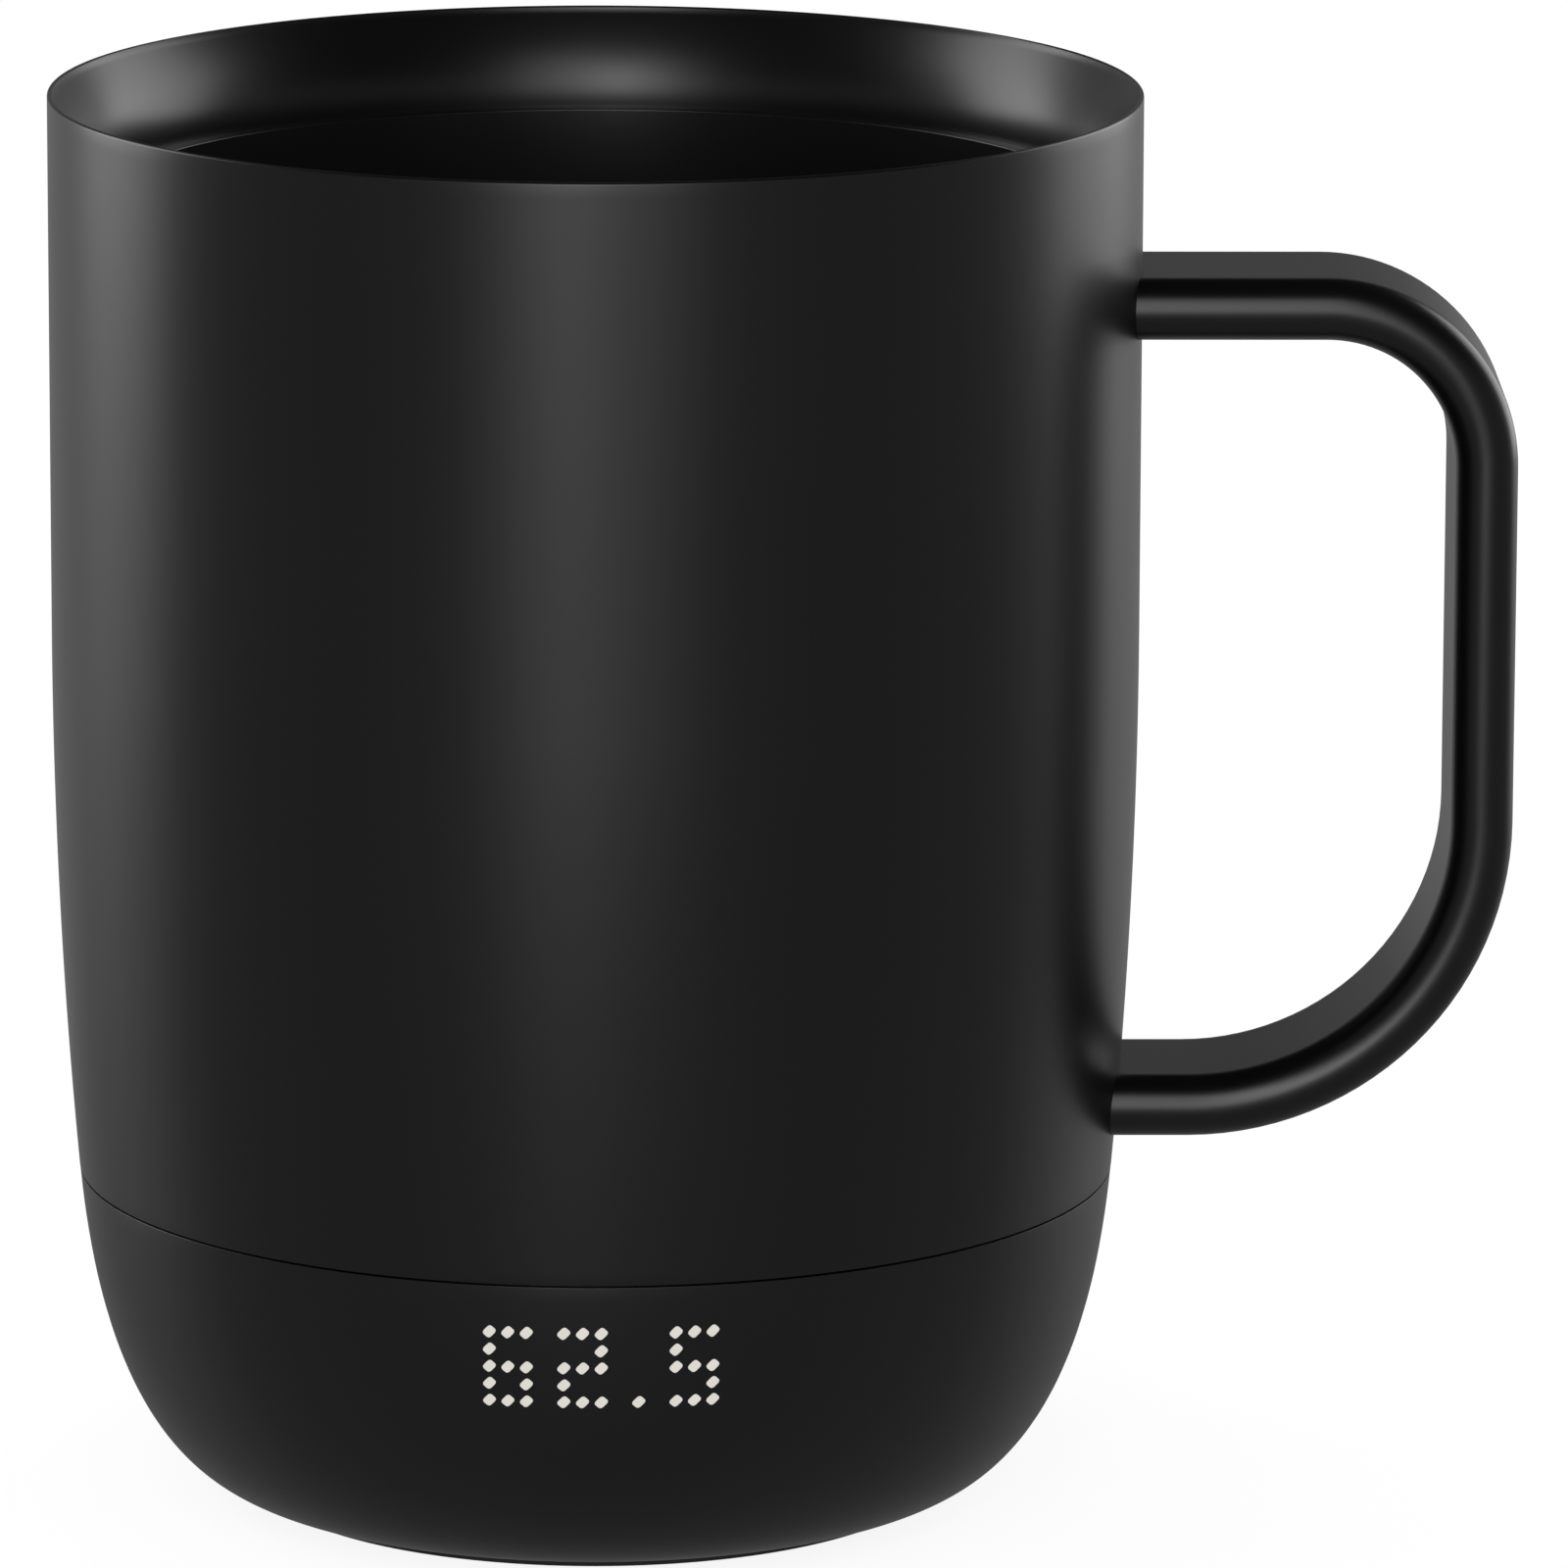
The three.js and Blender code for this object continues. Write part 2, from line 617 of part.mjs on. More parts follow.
function boardSolid() {
  const through = (radius) => rod(radius, boardBottom - OVERRUN, boardTop + OVERRUN);
  let board = solidOf(rod(boardRadius, boardBottom, boardTop, MEDIUM_ROUND));
  board = cutAt(board, through(BOSS_RADIUS + PASS), [...baseBosses, ...frameBosses]);
  board = cutAt(board, ribbonNotch(boardBottom, BOARD_THICKNESS), notchPlace);
  return cutAt(board, through(screwBoreRadius), saddles);
}

piece("main_board", geometryOf(boardSolid()), finish(0x1d5a35, 0.5, 0), boardParts);

function boardPart(name, { width, depth = width, height, x, y }, material) {
  piece(name, block(width, depth, height), material, boardParts, x, y, boardBottom - FIT - height);
}

const CONTROL_CHIP = { width: 7, height: 0.9, x: 10, y: -9 };
const CHARGER_CHIP = { width: 5, height: 0.9, x: -11, y: -12 };
const RADIO_MODULE = { width: 12, depth: 9, height: 1.3, x: -10, y: 11 };
const INDUCTOR = { width: 6, height: 1.8, x: 0, y: 13 };
const CONNECTOR = {
  width: 10, depth: CONNECTOR_DEPTH, height: 1.3, x: DISPLAY_OFFSET, y: -connectorPlace,
};
boardPart("control_chip", CONTROL_CHIP, chipBlack());
boardPart("charger_chip", CHARGER_CHIP, chipBlack());
boardPart("radio_module", RADIO_MODULE, steel());
boardPart("power_inductor", INDUCTOR, greyPlastic());
boardPart("display_connector", CONNECTOR, finish(0xe8e4da, 0.6, 0));

// Number display behind the front wall of the base: film, baffle and lamp board follow the wall,
// which is thinned there to a skin that the light shows through
const DISPLAY_SKIN = 0.7;
const DISPLAY_MARGIN = 1.4;
const DIFFUSER_THICKNESS = 0.2;
const BAFFLE_THICKNESS = 1.6;
const LAMP_BOARD_THICKNESS = 0.4;
const LAMP_WIDTH = 0.6;
const LAMP_HEIGHT = 0.3;
const LAMP_ROOT = 0.2;
const HOLE_SHARE = 0.42;
const HOLE_SIDES = 4;
const display = new THREE.Group();
mug.add(display);

const displayHalfHeight = (DISPLAY_ROWS * DISPLAY_PITCH) / 2 + DISPLAY_MARGIN / 2;
const displayHeight = Math.min(SEAM_HEIGHT - DISPLAY_DROP, frameBottom - displayHalfHeight - PASS);
const displayHalfWidth = (DISPLAY_COLUMNS * DISPLAY_PITCH) / 2 + DISPLAY_MARGIN / 2;
const displayRadius = wallRadius(displayHeight);
const displaySlope =
  (wallRadius(displayHeight + displayHalfHeight) - wallRadius(displayHeight - displayHalfHeight)) /
  (2 * displayHalfHeight);

// A slice of a cone that lies behind the wall of the display, cut square at its edges
function wallPatch(depth, thickness, margin = 0) {
  const half = displayHalfHeight + margin;
  const outer = displayRadius - depth;
  const inner = outer - thickness;
  const rise = displaySlope * half;
  const cone = turned([
    [inner - rise, displayHeight - half],
    [outer - rise, displayHeight - half],
    [outer + rise, displayHeight + half],
    [inner + rise, displayHeight + half],
  ]);
  const width = 2 * (displayHalfWidth + margin);
  const slice = block(width, bodyRadius, 2 * (half + OVERRUN), displayHeight - half - OVERRUN);
  return solidOf(cone).intersect(solidOf(slice.translate(DISPLAY_OFFSET, -bodyRadius, 0)));
}

// A shape that points out through the wall, repeated over the rows and columns of the display
function displayGrid(shape, depth, rows) {
  const copies = [];
  for (let row = 0; row < rows; row++) {
    const rise = (row - (rows - 1) / 2) * DISPLAY_PITCH;
    const radius = displayRadius + displaySlope * rise - depth;
    for (let column = 0; column < DISPLAY_COLUMNS; column++) {
      const along = DISPLAY_OFFSET + (column - (DISPLAY_COLUMNS - 1) / 2) * DISPLAY_PITCH;
      const copy = shape.clone().translate(0, -radius, displayHeight + rise);
      copies.push(solidOf(copy.rotateZ(along / displayRadius)));
    }
  }
  return wasm.Manifold.union(copies);
}

const diffuserDepth = DISPLAY_SKIN + FIT;
const baffleDepth = diffuserDepth + DIFFUSER_THICKNESS + FIT;
const lampBoardDepth = baffleDepth + BAFFLE_THICKNESS + LAMP_HEIGHT + PASS;
piece(
  "diffuser_film",
  geometryOf(wallPatch(diffuserDepth, DIFFUSER_THICKNESS)),
  finish(0xf2f0ea, 0.7, 0),
  display,
);
const holeRadius = HOLE_SHARE * DISPLAY_PITCH;
const holeLength = BAFFLE_THICKNESS + 2 * OVERRUN;
const baffleHole = new THREE.CylinderGeometry(holeRadius, holeRadius, holeLength, HOLE_SIDES);
piece(
  "light_baffle",
  geometryOf(
    wallPatch(baffleDepth, BAFFLE_THICKNESS).subtract(
      displayGrid(baffleHole, baffleDepth + BAFFLE_THICKNESS / 2, DISPLAY_ROWS),
    ),
  ),
  finish(0xf0f0ee, 0.6, 0),
  display,
);
const lampBar = new THREE.BoxGeometry(LAMP_WIDTH, LAMP_HEIGHT + LAMP_ROOT, DISPLAY_ROWS * DISPLAY_PITCH);
lampBar.rotateX(Math.atan(displaySlope));
piece(
  "display_board",
  geometryOf(
    wallPatch(lampBoardDepth, LAMP_BOARD_THICKNESS).add(
      displayGrid(lampBar, lampBoardDepth - (LAMP_HEIGHT - LAMP_ROOT) / 2, 1),
    ),
  ),
  finish(0x1d5a35, 0.5, 0),
  display,
);

// Ribbon from the back of the lamp board down to its connector under the main board
const RIBBON_THICKNESS = 0.2;
const ribbonEdge = RIBBON_WIDTH / 2 + DISPLAY_OFFSET;
const lampBoardBack =
  displayRadius - lampBoardDepth - LAMP_BOARD_THICKNESS - displaySlope * displayHalfHeight;
const ribbonStart = Math.sqrt(lampBoardBack ** 2 - ribbonEdge ** 2) - FIT - RIBBON_THICKNESS;
const ribbonTop = displayHeight - displayHalfHeight / 2;
const ribbonHeight = boardBottom - FIT - CONNECTOR.height / 2;
const ribbonRoute = new THREE.QuadraticBezierCurve3(
  new THREE.Vector3(DISPLAY_OFFSET, -ribbonStart, ribbonTop),
  new THREE.Vector3(DISPLAY_OFFSET, -ribbonStart, ribbonHeight),
  new THREE.Vector3(DISPLAY_OFFSET, -ribbonEnd, ribbonHeight),
);
const ribbonSection = new THREE.Shape([
  new THREE.Vector2(-RIBBON_WIDTH / 2, -RIBBON_THICKNESS / 2),
  new THREE.Vector2(RIBBON_WIDTH / 2, -RIBBON_THICKNESS / 2),
  new THREE.Vector2(RIBBON_WIDTH / 2, RIBBON_THICKNESS / 2),
  new THREE.Vector2(-RIBBON_WIDTH / 2, RIBBON_THICKNESS / 2),
]);
piece(
  "display_ribbon",
  new THREE.ExtrudeGeometry(ribbonSection, { extrudePath: ribbonRoute, steps: RIBBON_STEPS }),
  finish(0xb5651d, 0.5, 0),
  display,
);

// Base: a moulded bowl with a spigot up into the shell, a seat for the cover, a groove for the
// foot ring, posts for the base screws and a pocket behind the display
const COVER_SURROUND = 1.4;
const COVER_SEAT_WIDTH = 4.4;
const COVER_FLANGE = 1.8;
const COVER_RECESS = 0.2;
const SEAT_THICKNESS = 1.7;
const SEAT_RIM = 2;
const POST_RADIUS = 3;
const COVER_SCREW_COUNT = 3;
const COVER_SCREW_ANGLE = -Math.PI / 2;
const COVER_SCREW_LENGTH = 2.4;

const coverFace = FOOT_STAND + COVER_RECESS;
const coverFlangeTop = coverFace + COVER_FLANGE;
const seatBottom = coverFlangeTop + FIT;
const seatTop = seatBottom + SEAT_THICKNESS;
const coverRadius = footInnerRadius - COVER_SURROUND;
const recessRadius = coverRadius + PASS;
const seatInnerRadius = coverRadius - COVER_SEAT_WIDTH + PASS;
const coverPlugRadius = coverRadius - COVER_SEAT_WIDTH;
const coverScrewCircle = coverRadius - COVER_SEAT_WIDTH / 2;
const coverScrews = placesRound(coverScrewCircle, COVER_SCREW_COUNT, COVER_SCREW_ANGLE);
const coverHeadBottom = coverFace + FIT;
const headHole = SCREW_HEAD_RADIUS + FIT;

function baseSolid() {
  const outline = [
    [recessRadius, FOOT_STAND],
    [footInnerRadius - FIT, FOOT_STAND],
    [footInnerRadius - FIT, grooveTop],
    [footOuterRadius + FIT, grooveTop],
    [footOuterRadius + FIT, FOOT_STAND],
    ...inset(bowlCurve, BOWL_STEPS, 0),
    [spigotRadius, bowlTop],
    [spigotRadius, spigotTop],
    [spigotInnerRadius, spigotTop],
    ...inset(bowlCurve, BOWL_INNER_STEPS, BASE_WALL).slice(1).reverse(),
    [recessRadius + SEAT_RIM, floorTop],
    [recessRadius + SEAT_RIM, seatTop],
    [seatInnerRadius, seatTop],
    [seatInnerRadius, seatBottom],
    [recessRadius, seatBottom],
  ];
  const postHole = (radius, bottom, top) => rod(radius, bottom - FIT, top);
  let base = solidOf(turned(outline));
  base = joinAt(base, rod(POST_RADIUS, floorTop - BASE_WALL / 4, postTop), baseBosses);
  base = cutAt(base, postHole(headHole, grooveTop, baseHeadBottom + SCREW_HEAD_HEIGHT + FIT), baseBosses);
  base = cutAt(base, postHole(screwBoreRadius, grooveTop, postTop + OVERRUN), baseBosses);
  base = cutAt(base, postHole(screwBoreRadius, seatBottom, seatTop + OVERRUN), coverScrews);
  const pocketDepth = BASE_WALL + OVERRUN - DISPLAY_SKIN;
  return base.subtract(wallPatch(DISPLAY_SKIN, pocketDepth, FIT));
}

piece("base_shell", geometryOf(baseSolid()), blackPlastic());

piece(
  "base_seal",
  ring(spigotInnerRadius, spigotRadius, sealBottom, sealBottom + SEAL_THICKNESS),
  finish(0x2a2a2a, 0.8, 0),
);
piece(
  "foot_ring",
  ring(footInnerRadius, footOuterRadius, 0, grooveTop - FIT),
  finish(0x262627, 0.85, 0),
);

// Underside: a round cover with two charging rings let into it and the power button in its middle
const RING_DEPTH = 0.6;
const RING_PROUD = 0.1;
const OUTER_BAND = { innerShare: 0.725, outerShare: 0.933, pinAngle: Math.PI / 4 };
const INNER_BAND = { innerShare: 0.267, outerShare: 0.475, pinAngle: (5 * Math.PI) / 4 };
const PLUG_TOP_RISE = 0.2;
const PIN_RADIUS = 0.7;
const PIN_SLEEVE_RADIUS = 1.2;
const PIN_SLEEVE_SHARE = 0.6;
const underside = new THREE.Group();
mug.add(underside);
const buttonRadius = BUTTON_DIAMETER / 2;
const buttonHole = buttonRadius + PASS;
const plugTop = coverFlangeTop + PLUG_TOP_RISE;
const ringTop = coverFace + RING_DEPTH;

// A contact ring, its radii shared out between the button's hole and the edge of the plug
function contactBand({ innerShare, outerShare, pinAngle }) {
  const space = coverPlugRadius - buttonHole;
  const inner = buttonHole + space * innerShare;
  const outer = buttonHole + space * outerShare;
  return { inner, outer, pinPlace: placesRound((inner + outer) / 2, 1, pinAngle) };
}

const outerRing = contactBand(OUTER_BAND);
const innerRing = contactBand(INNER_BAND);

function coverSolid() {
  const groove = ({ inner, outer }) => [
    [inner - FIT, coverFace],
    [inner - FIT, ringTop],
    [outer + FIT, ringTop],
    [outer + FIT, coverFace],
  ];
  let cover = solidOf(turned([
    [buttonHole, coverFace],
    ...groove(innerRing),
    ...groove(outerRing),
    [coverRadius, coverFace],
    [coverRadius, coverFlangeTop],
    [coverPlugRadius, coverFlangeTop],
    [coverPlugRadius, plugTop],
    [buttonHole, plugTop],
  ], MEDIUM_ROUND));
  const pinHole = rod(PIN_RADIUS + PASS, ringTop - FIT, plugTop + OVERRUN);
  cover = cutAt(cover, pinHole, [...outerRing.pinPlace, ...innerRing.pinPlace]);
  const seat = coverHeadBottom + SCREW_HEAD_HEIGHT + FIT;
  cover = cutAt(cover, rod(headHole, coverFace - OVERRUN, seat), coverScrews);
  return cutAt(cover, rod(screwBoreRadius, coverFace, plugTop + OVERRUN), coverScrews);
}

piece("bottom_cover", geometryOf(coverSolid()), blackPlastic(), underside);
screws("cover_screw", coverScrews, coverHeadBottom, COVER_SCREW_LENGTH);

function contact(name, band) {
  const [[x, y]] = band.pinPlace;
  piece(
    "contact_ring_" + name,
    ring(band.inner, band.outer, coverFace - RING_PROUD, ringTop - FIT, MEDIUM_ROUND),
    brass(), underside,
  );
  const length = boardBottom - ringTop - FIT;
  const sleeve = length * PIN_SLEEVE_SHARE;
  const pin = turned([
    [0, 0],
    [PIN_RADIUS, 0],
    [PIN_RADIUS, length - sleeve],
    [PIN_SLEEVE_RADIUS, length - sleeve],
    [PIN_SLEEVE_RADIUS, length],
    [0, length],
  ], SMALL_ROUND);
  piece("contact_pin_" + name, pin, brass(), underside, x, y, ringTop);
}

contact("outer", outerRing);
contact("inner", innerRing);

// Power button: a cap whose flange is held behind the cover, over the plunger of a board switch
const BUTTON_INSET = 0.1;
const BUTTON_FLANGE_WIDTH = 1.6;
const BUTTON_FLANGE_HEIGHT = 0.8;
const BUTTON_POST_RADIUS = 1.6;
const GASKET_HEIGHT = 0.4;
const GASKET_WIDTH = 1;
const SWITCH_WIDTH = 6.2;
const SWITCH_HEIGHT = 1.5;
const PLUNGER_RADIUS = 1.5;
const PLUNGER_PROUD = 0.4;
const PLUNGER_SEAT = 0.5;

const switchTop = boardBottom - FIT;
const switchBottom = switchTop - SWITCH_HEIGHT;
const plungerBottom = switchBottom - PLUNGER_PROUD;
const buttonFace = coverFace + BUTTON_INSET;
const gasketBottom = plugTop + FIT / 2;
const flangeBottom = gasketBottom + GASKET_HEIGHT + FIT / 2;
const flangeTop = flangeBottom + BUTTON_FLANGE_HEIGHT;
const plungerHole = PLUNGER_RADIUS + PASS;

piece(
  "power_button",
  turned([
    [0, buttonFace],
    [buttonRadius, buttonFace],
    [buttonRadius, flangeBottom],
    [buttonRadius + BUTTON_FLANGE_WIDTH, flangeBottom],
    [buttonRadius + BUTTON_FLANGE_WIDTH, flangeTop],
    [BUTTON_POST_RADIUS, flangeTop],
    [BUTTON_POST_RADIUS, plungerBottom - FIT],
    [0, plungerBottom - FIT],
  ], MEDIUM_ROUND),
  blackPlastic(), underside,
);
piece(
  "button_gasket",
  ring(buttonHole, buttonHole + GASKET_WIDTH, gasketBottom, gasketBottom + GASKET_HEIGHT, MEDIUM_ROUND),
  finish(0x303030, 0.85, 0), underside,
);

function switchSolid() {
  const body = solidOf(block(SWITCH_WIDTH, SWITCH_WIDTH, SWITCH_HEIGHT, switchBottom));
  const bore = rod(plungerHole, switchBottom - OVERRUN, switchBottom + PLUNGER_SEAT + BUTTON_TRAVEL + FIT);
  return body.subtract(solidOf(bore));
}

piece("switch_body", geometryOf(switchSolid()), chipBlack(), underside);
piece(
  "switch_plunger",
  rod(PLUNGER_RADIUS, 0, PLUNGER_PROUD + PLUNGER_SEAT),
  finish(0xd9d6cc, 0.5, 0), underside, 0, 0, plungerBottom,
);

// The origin lies on the table, midway between the far side of the body and the handle
const group = new THREE.Group();
mug.position.x = -HANDLE_PROJECTION / 2;
group.add(mug);

export default group;
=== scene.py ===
# A self heating mug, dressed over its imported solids.
# Lengths are written in millimetres times MM, Z is up and the handle points to +X.
import math

import bmesh
import bpy
from mathutils import Matrix, Vector


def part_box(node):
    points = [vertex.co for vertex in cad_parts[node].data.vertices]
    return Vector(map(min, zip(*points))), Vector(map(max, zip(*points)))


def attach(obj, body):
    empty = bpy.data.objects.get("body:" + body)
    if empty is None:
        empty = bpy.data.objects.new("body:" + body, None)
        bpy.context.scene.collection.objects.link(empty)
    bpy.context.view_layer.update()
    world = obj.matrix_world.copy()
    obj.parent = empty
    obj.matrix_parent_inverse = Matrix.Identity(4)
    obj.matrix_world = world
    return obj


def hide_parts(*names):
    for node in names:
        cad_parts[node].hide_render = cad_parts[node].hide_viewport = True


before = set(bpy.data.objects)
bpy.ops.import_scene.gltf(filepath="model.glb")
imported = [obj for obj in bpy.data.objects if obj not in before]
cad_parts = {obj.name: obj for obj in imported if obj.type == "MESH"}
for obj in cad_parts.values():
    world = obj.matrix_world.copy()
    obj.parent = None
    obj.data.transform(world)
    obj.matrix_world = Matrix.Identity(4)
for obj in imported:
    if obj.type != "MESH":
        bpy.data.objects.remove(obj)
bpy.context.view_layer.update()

scene = bpy.context.scene

# Outer shell
# A sleeve of drawn steel, 0.4 mm thick, that narrows towards the base.
# It is powder coated satin black, and its top edge is welded to the rim of the cup.
MM = 0.001
SHEET = 0.4 * MM
BODY_RADIUS = 43 * MM
SEAM_RADIUS = 41.15 * MM
SEAM_HEIGHT = 26.3 * MM
TAPER_MIDDLE = 47.321 * MM
TAPER_HEIGHT = 69.2 * MM
SHELL_TOP = 111.2 * MM
SHELL_EDGE = 0.04 * MM
BODY_SIDES = 192
TAPER_STEPS = 40
WALL_STEPS = 6
EASE_STEPS = 4
PATH_RADIUS = 10 * MM
POLE_WELD = 0.001 * MM
SHARP_ANGLE = math.radians(38)
BLACK_COAT = (0.001, 0.001, 0.00105)
PALER_COAT = (0.0014, 0.0014, 0.00145)
COAT_GRAIN = 2600
COAT_BUMP = 0.0012 * MM
GRAIN_DETAIL = 3
DRIFT_SCALE = 45
DRIFT_DETAIL = 2
shell_low, shell_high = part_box("outer_shell")
axis_place = (shell_low.x + shell_high.x) / 2


def bezier(controls, steps):
    """Points of a Bezier curve, ends included."""
    curve = []
    for i in range(steps + 1):
        level = [Vector(control) for control in controls]
        while len(level) > 1:
            level = [a.lerp(b, i / steps) for a, b in zip(level, level[1:])]
        curve.append(level[0])
    return curve


def beside(curve, distance):
    """A curve moved to its left by a wall thickness."""
    moved = []
    for i, point in enumerate(curve):
        ahead = curve[min(i + 1, len(curve) - 1)] - curve[max(i - 1, 0)]
        left = Vector((-ahead.y, ahead.x)).normalized()
        moved.append(point + left * distance)
    return moved


def straight(start, end, steps):
    """Points between two ends, both left out."""
    start, end = Vector(start), Vector(end)
    return [start.lerp(end, i / steps) for i in range(1, steps)]


def eased(corners):
    """A closed outline with each (radius, height, ease) corner eased by a small curve."""
    outline = []
    for i, (radius, height, ease) in enumerate(corners):
        corner = Vector((radius, height))
        if not ease:
            outline.append(corner)
            continue
        back = (Vector(corners[i - 1][:2]) - corner).normalized()
        onward = (Vector(corners[(i + 1) % len(corners)][:2]) - corner).normalized()
        outline += bezier([corner + back * ease, corner, corner + onward * ease], EASE_STEPS)
    return outline


def plain(curve):
    """Curve points as corners that need no easing."""
    return [(point[0], point[1], 0) for point in curve]


def new_tree(name, inputs):
    """A geometry tree whose named inputs are given as (name, socket type)."""
    tree = bpy.data.node_groups.new(name, "GeometryNodeTree")
    tree.is_modifier = True
    for label, kind in [("Geometry", "Geometry"), *inputs, ("Material", "Material")]:
        tree.interface.new_socket(name=label, in_out="INPUT", socket_type="NodeSocket" + kind)
    tree.interface.new_socket(name="Result", in_out="OUTPUT", socket_type="NodeSocketGeometry")
    return tree, tree.nodes.new("NodeGroupInput")


def close_tree(tree, source, last):
    """Ends a geometry tree in real geometry that carries its material."""
    real = tree.nodes.new("GeometryNodeRealizeInstances")
    paint = tree.nodes.new("GeometryNodeSetMaterial")
    end = tree.nodes.new("NodeGroupOutput")
    tree.links.new(last, real.inputs["Geometry"])
    tree.links.new(real.outputs["Geometry"], paint.inputs["Geometry"])
    tree.links.new(source.outputs["Material"], paint.inputs["Material"])
    tree.links.new(paint.outputs["Geometry"], end.inputs["Result"])
    return tree


def turning_tree():
    """Sweeps an outline round the mug's axis and welds the poles and the start."""
    tree, source = new_tree(
        "Turned round the axis", [("Sides", "Int"), ("Path Radius", "Float"), ("Place", "Vector")]
    )
    path = tree.nodes.new("GeometryNodeCurvePrimitiveCircle")
    outline = tree.nodes.new("GeometryNodeMeshToCurve")
    sweep = tree.nodes.new("GeometryNodeCurveToMesh")
    weld = tree.nodes.new("GeometryNodeMergeByDistance")
    move = tree.nodes.new("GeometryNodeTransform")
    weld.inputs["Distance"].default_value = POLE_WELD
    tree.links.new(source.outputs["Sides"], path.inputs["Resolution"])
    tree.links.new(source.outputs["Path Radius"], path.inputs["Radius"])
    tree.links.new(source.outputs["Geometry"], outline.inputs["Mesh"])
    tree.links.new(path.outputs["Curve"], sweep.inputs["Curve"])
    tree.links.new(outline.outputs["Curve"], sweep.inputs["Profile Curve"])
    tree.links.new(sweep.outputs["Mesh"], weld.inputs["Geometry"])
    tree.links.new(weld.outputs["Geometry"], move.inputs["Geometry"])
    tree.links.new(source.outputs["Place"], move.inputs["Translation"])
    return close_tree(tree, source, move.outputs["Geometry"])


def linked_object(name, points, edges=(), faces=()):
    """A new object at the origin with its place in its mesh."""
    mesh = bpy.data.meshes.new(name)
    mesh.from_pydata(points, edges, faces)
    made = bpy.data.objects.new(name, mesh)
    scene.collection.objects.link(made)
    return made


def smoothed(mesh):
    """Smooth shading that keeps the crisp edges."""
    mesh.shade_smooth()
    mesh.set_sharp_from_angle(angle=SHARP_ANGLE)


def baked(name, blank, tree, values):
    """The plain mesh that a geometry tree makes of a blank, under the piece's name."""
    modifier = blank.modifiers.new(tree.name, "NODES")
    modifier.node_group = tree
    for socket in tree.interface.items_tree:
        if socket.in_out == "INPUT" and socket.name in values:
            modifier[socket.identifier] = values[socket.name]
    bpy.context.view_layer.update()
    evaluated = blank.evaluated_get(bpy.context.evaluated_depsgraph_get())
    mesh = bpy.data.meshes.new_from_object(evaluated)
    mesh.name = name
    blank.modifiers.remove(modifier)
    bpy.data.objects.remove(blank)
    smoothed(mesh)
    made = bpy.data.objects.new(name, mesh)
    scene.collection.objects.link(made)
    return made


turned_round = turning_tree()


def turned(name, outline, material, closed=True, sides=BODY_SIDES, place=(axis_place, 0, 0)):
    """A piece turned round an upright axis from (radius, height) points, anticlockwise."""
    points = [(radius - PATH_RADIUS, -height, 0) for radius, height in reversed(outline)]
    edges = [(i, i + 1) for i in range(len(points) - 1)]
    if closed:
        edges.append((len(points) - 1, 0))
    blank = linked_object(name + "_outline", points, edges)
    values = {
        "Sides": sides, "Path Radius": PATH_RADIUS, "Place": place, "Material": material,
    }
    return baked(name, blank, turned_round, values)


def shader_group(name, inputs, outputs):
    """A shader group with named inputs and outputs, each given as (name, socket type)."""
    group = bpy.data.node_groups.new(name, "ShaderNodeTree")
    for label, kind in inputs:
        group.interface.new_socket(name=label, in_out="INPUT", socket_type="NodeSocket" + kind)
    for label, kind in outputs:
        group.interface.new_socket(name=label, in_out="OUTPUT", socket_type="NodeSocket" + kind)
    return group, group.nodes.new("NodeGroupInput"), group.nodes.new("NodeGroupOutput")


def close_surface(group, source, goal, tint, gloss=None, height=None, tinted="Color"):
    """Ends a surface group in its colour, roughness and height, each led by a factor.

    Where no factor is given, the roughness follows the colour and the height the roughness.
    """
    gloss = gloss or tint
    mix = group.nodes.new("ShaderNodeMix")
    mix.data_type = "RGBA"
    spread = group.nodes.new("ShaderNodeMapRange")
    group.links.new(tint, mix.inputs["Factor"])
    group.links.new(source.outputs["Color"], mix.inputs["A"])
    group.links.new(source.outputs["Second Color"], mix.inputs["B"])
    group.links.new(mix.outputs["Result"], goal.inputs[tinted])
    group.links.new(gloss, spread.inputs["Value"])
    group.links.new(source.outputs["Least Roughness"], spread.inputs["To Min"])
    group.links.new(source.outputs["Most Roughness"], spread.inputs["To Max"])
    group.links.new(spread.outputs["Result"], goal.inputs["Roughness"])
    group.links.new(height or gloss, goal.inputs["Height"])
    return group


SURFACE_INPUTS = [
    ("Color", "Color"), ("Second Color", "Color"), ("Scale", "Float"),
    ("Least Roughness", "Float"), ("Most Roughness", "Float"),
]
SURFACE_OUTPUTS = [("Color", "Color"), ("Roughness", "Float"), ("Height", "Float")]


def grain_group():
    """A fine even grain with slow drifts of colour and gloss, for coats and moulded plastic."""
    group, source, goal = shader_group("Fine grain", SURFACE_INPUTS, SURFACE_OUTPUTS)
    place = group.nodes.new("ShaderNodeTexCoord")
    grain = group.nodes.new("ShaderNodeTexNoise")
    drift = group.nodes.new("ShaderNodeTexNoise")
    grain.inputs["Detail"].default_value = GRAIN_DETAIL
    drift.inputs["Scale"].default_value = DRIFT_SCALE
    drift.inputs["Detail"].default_value = DRIFT_DETAIL
    group.links.new(source.outputs["Scale"], grain.inputs["Scale"])
    for noise in (grain, drift):
        group.links.new(place.outputs["Object"], noise.inputs["Vector"])
    return close_surface(group, source, goal, drift.outputs["Fac"], height=grain.outputs["Fac"])


fine_grain = grain_group()


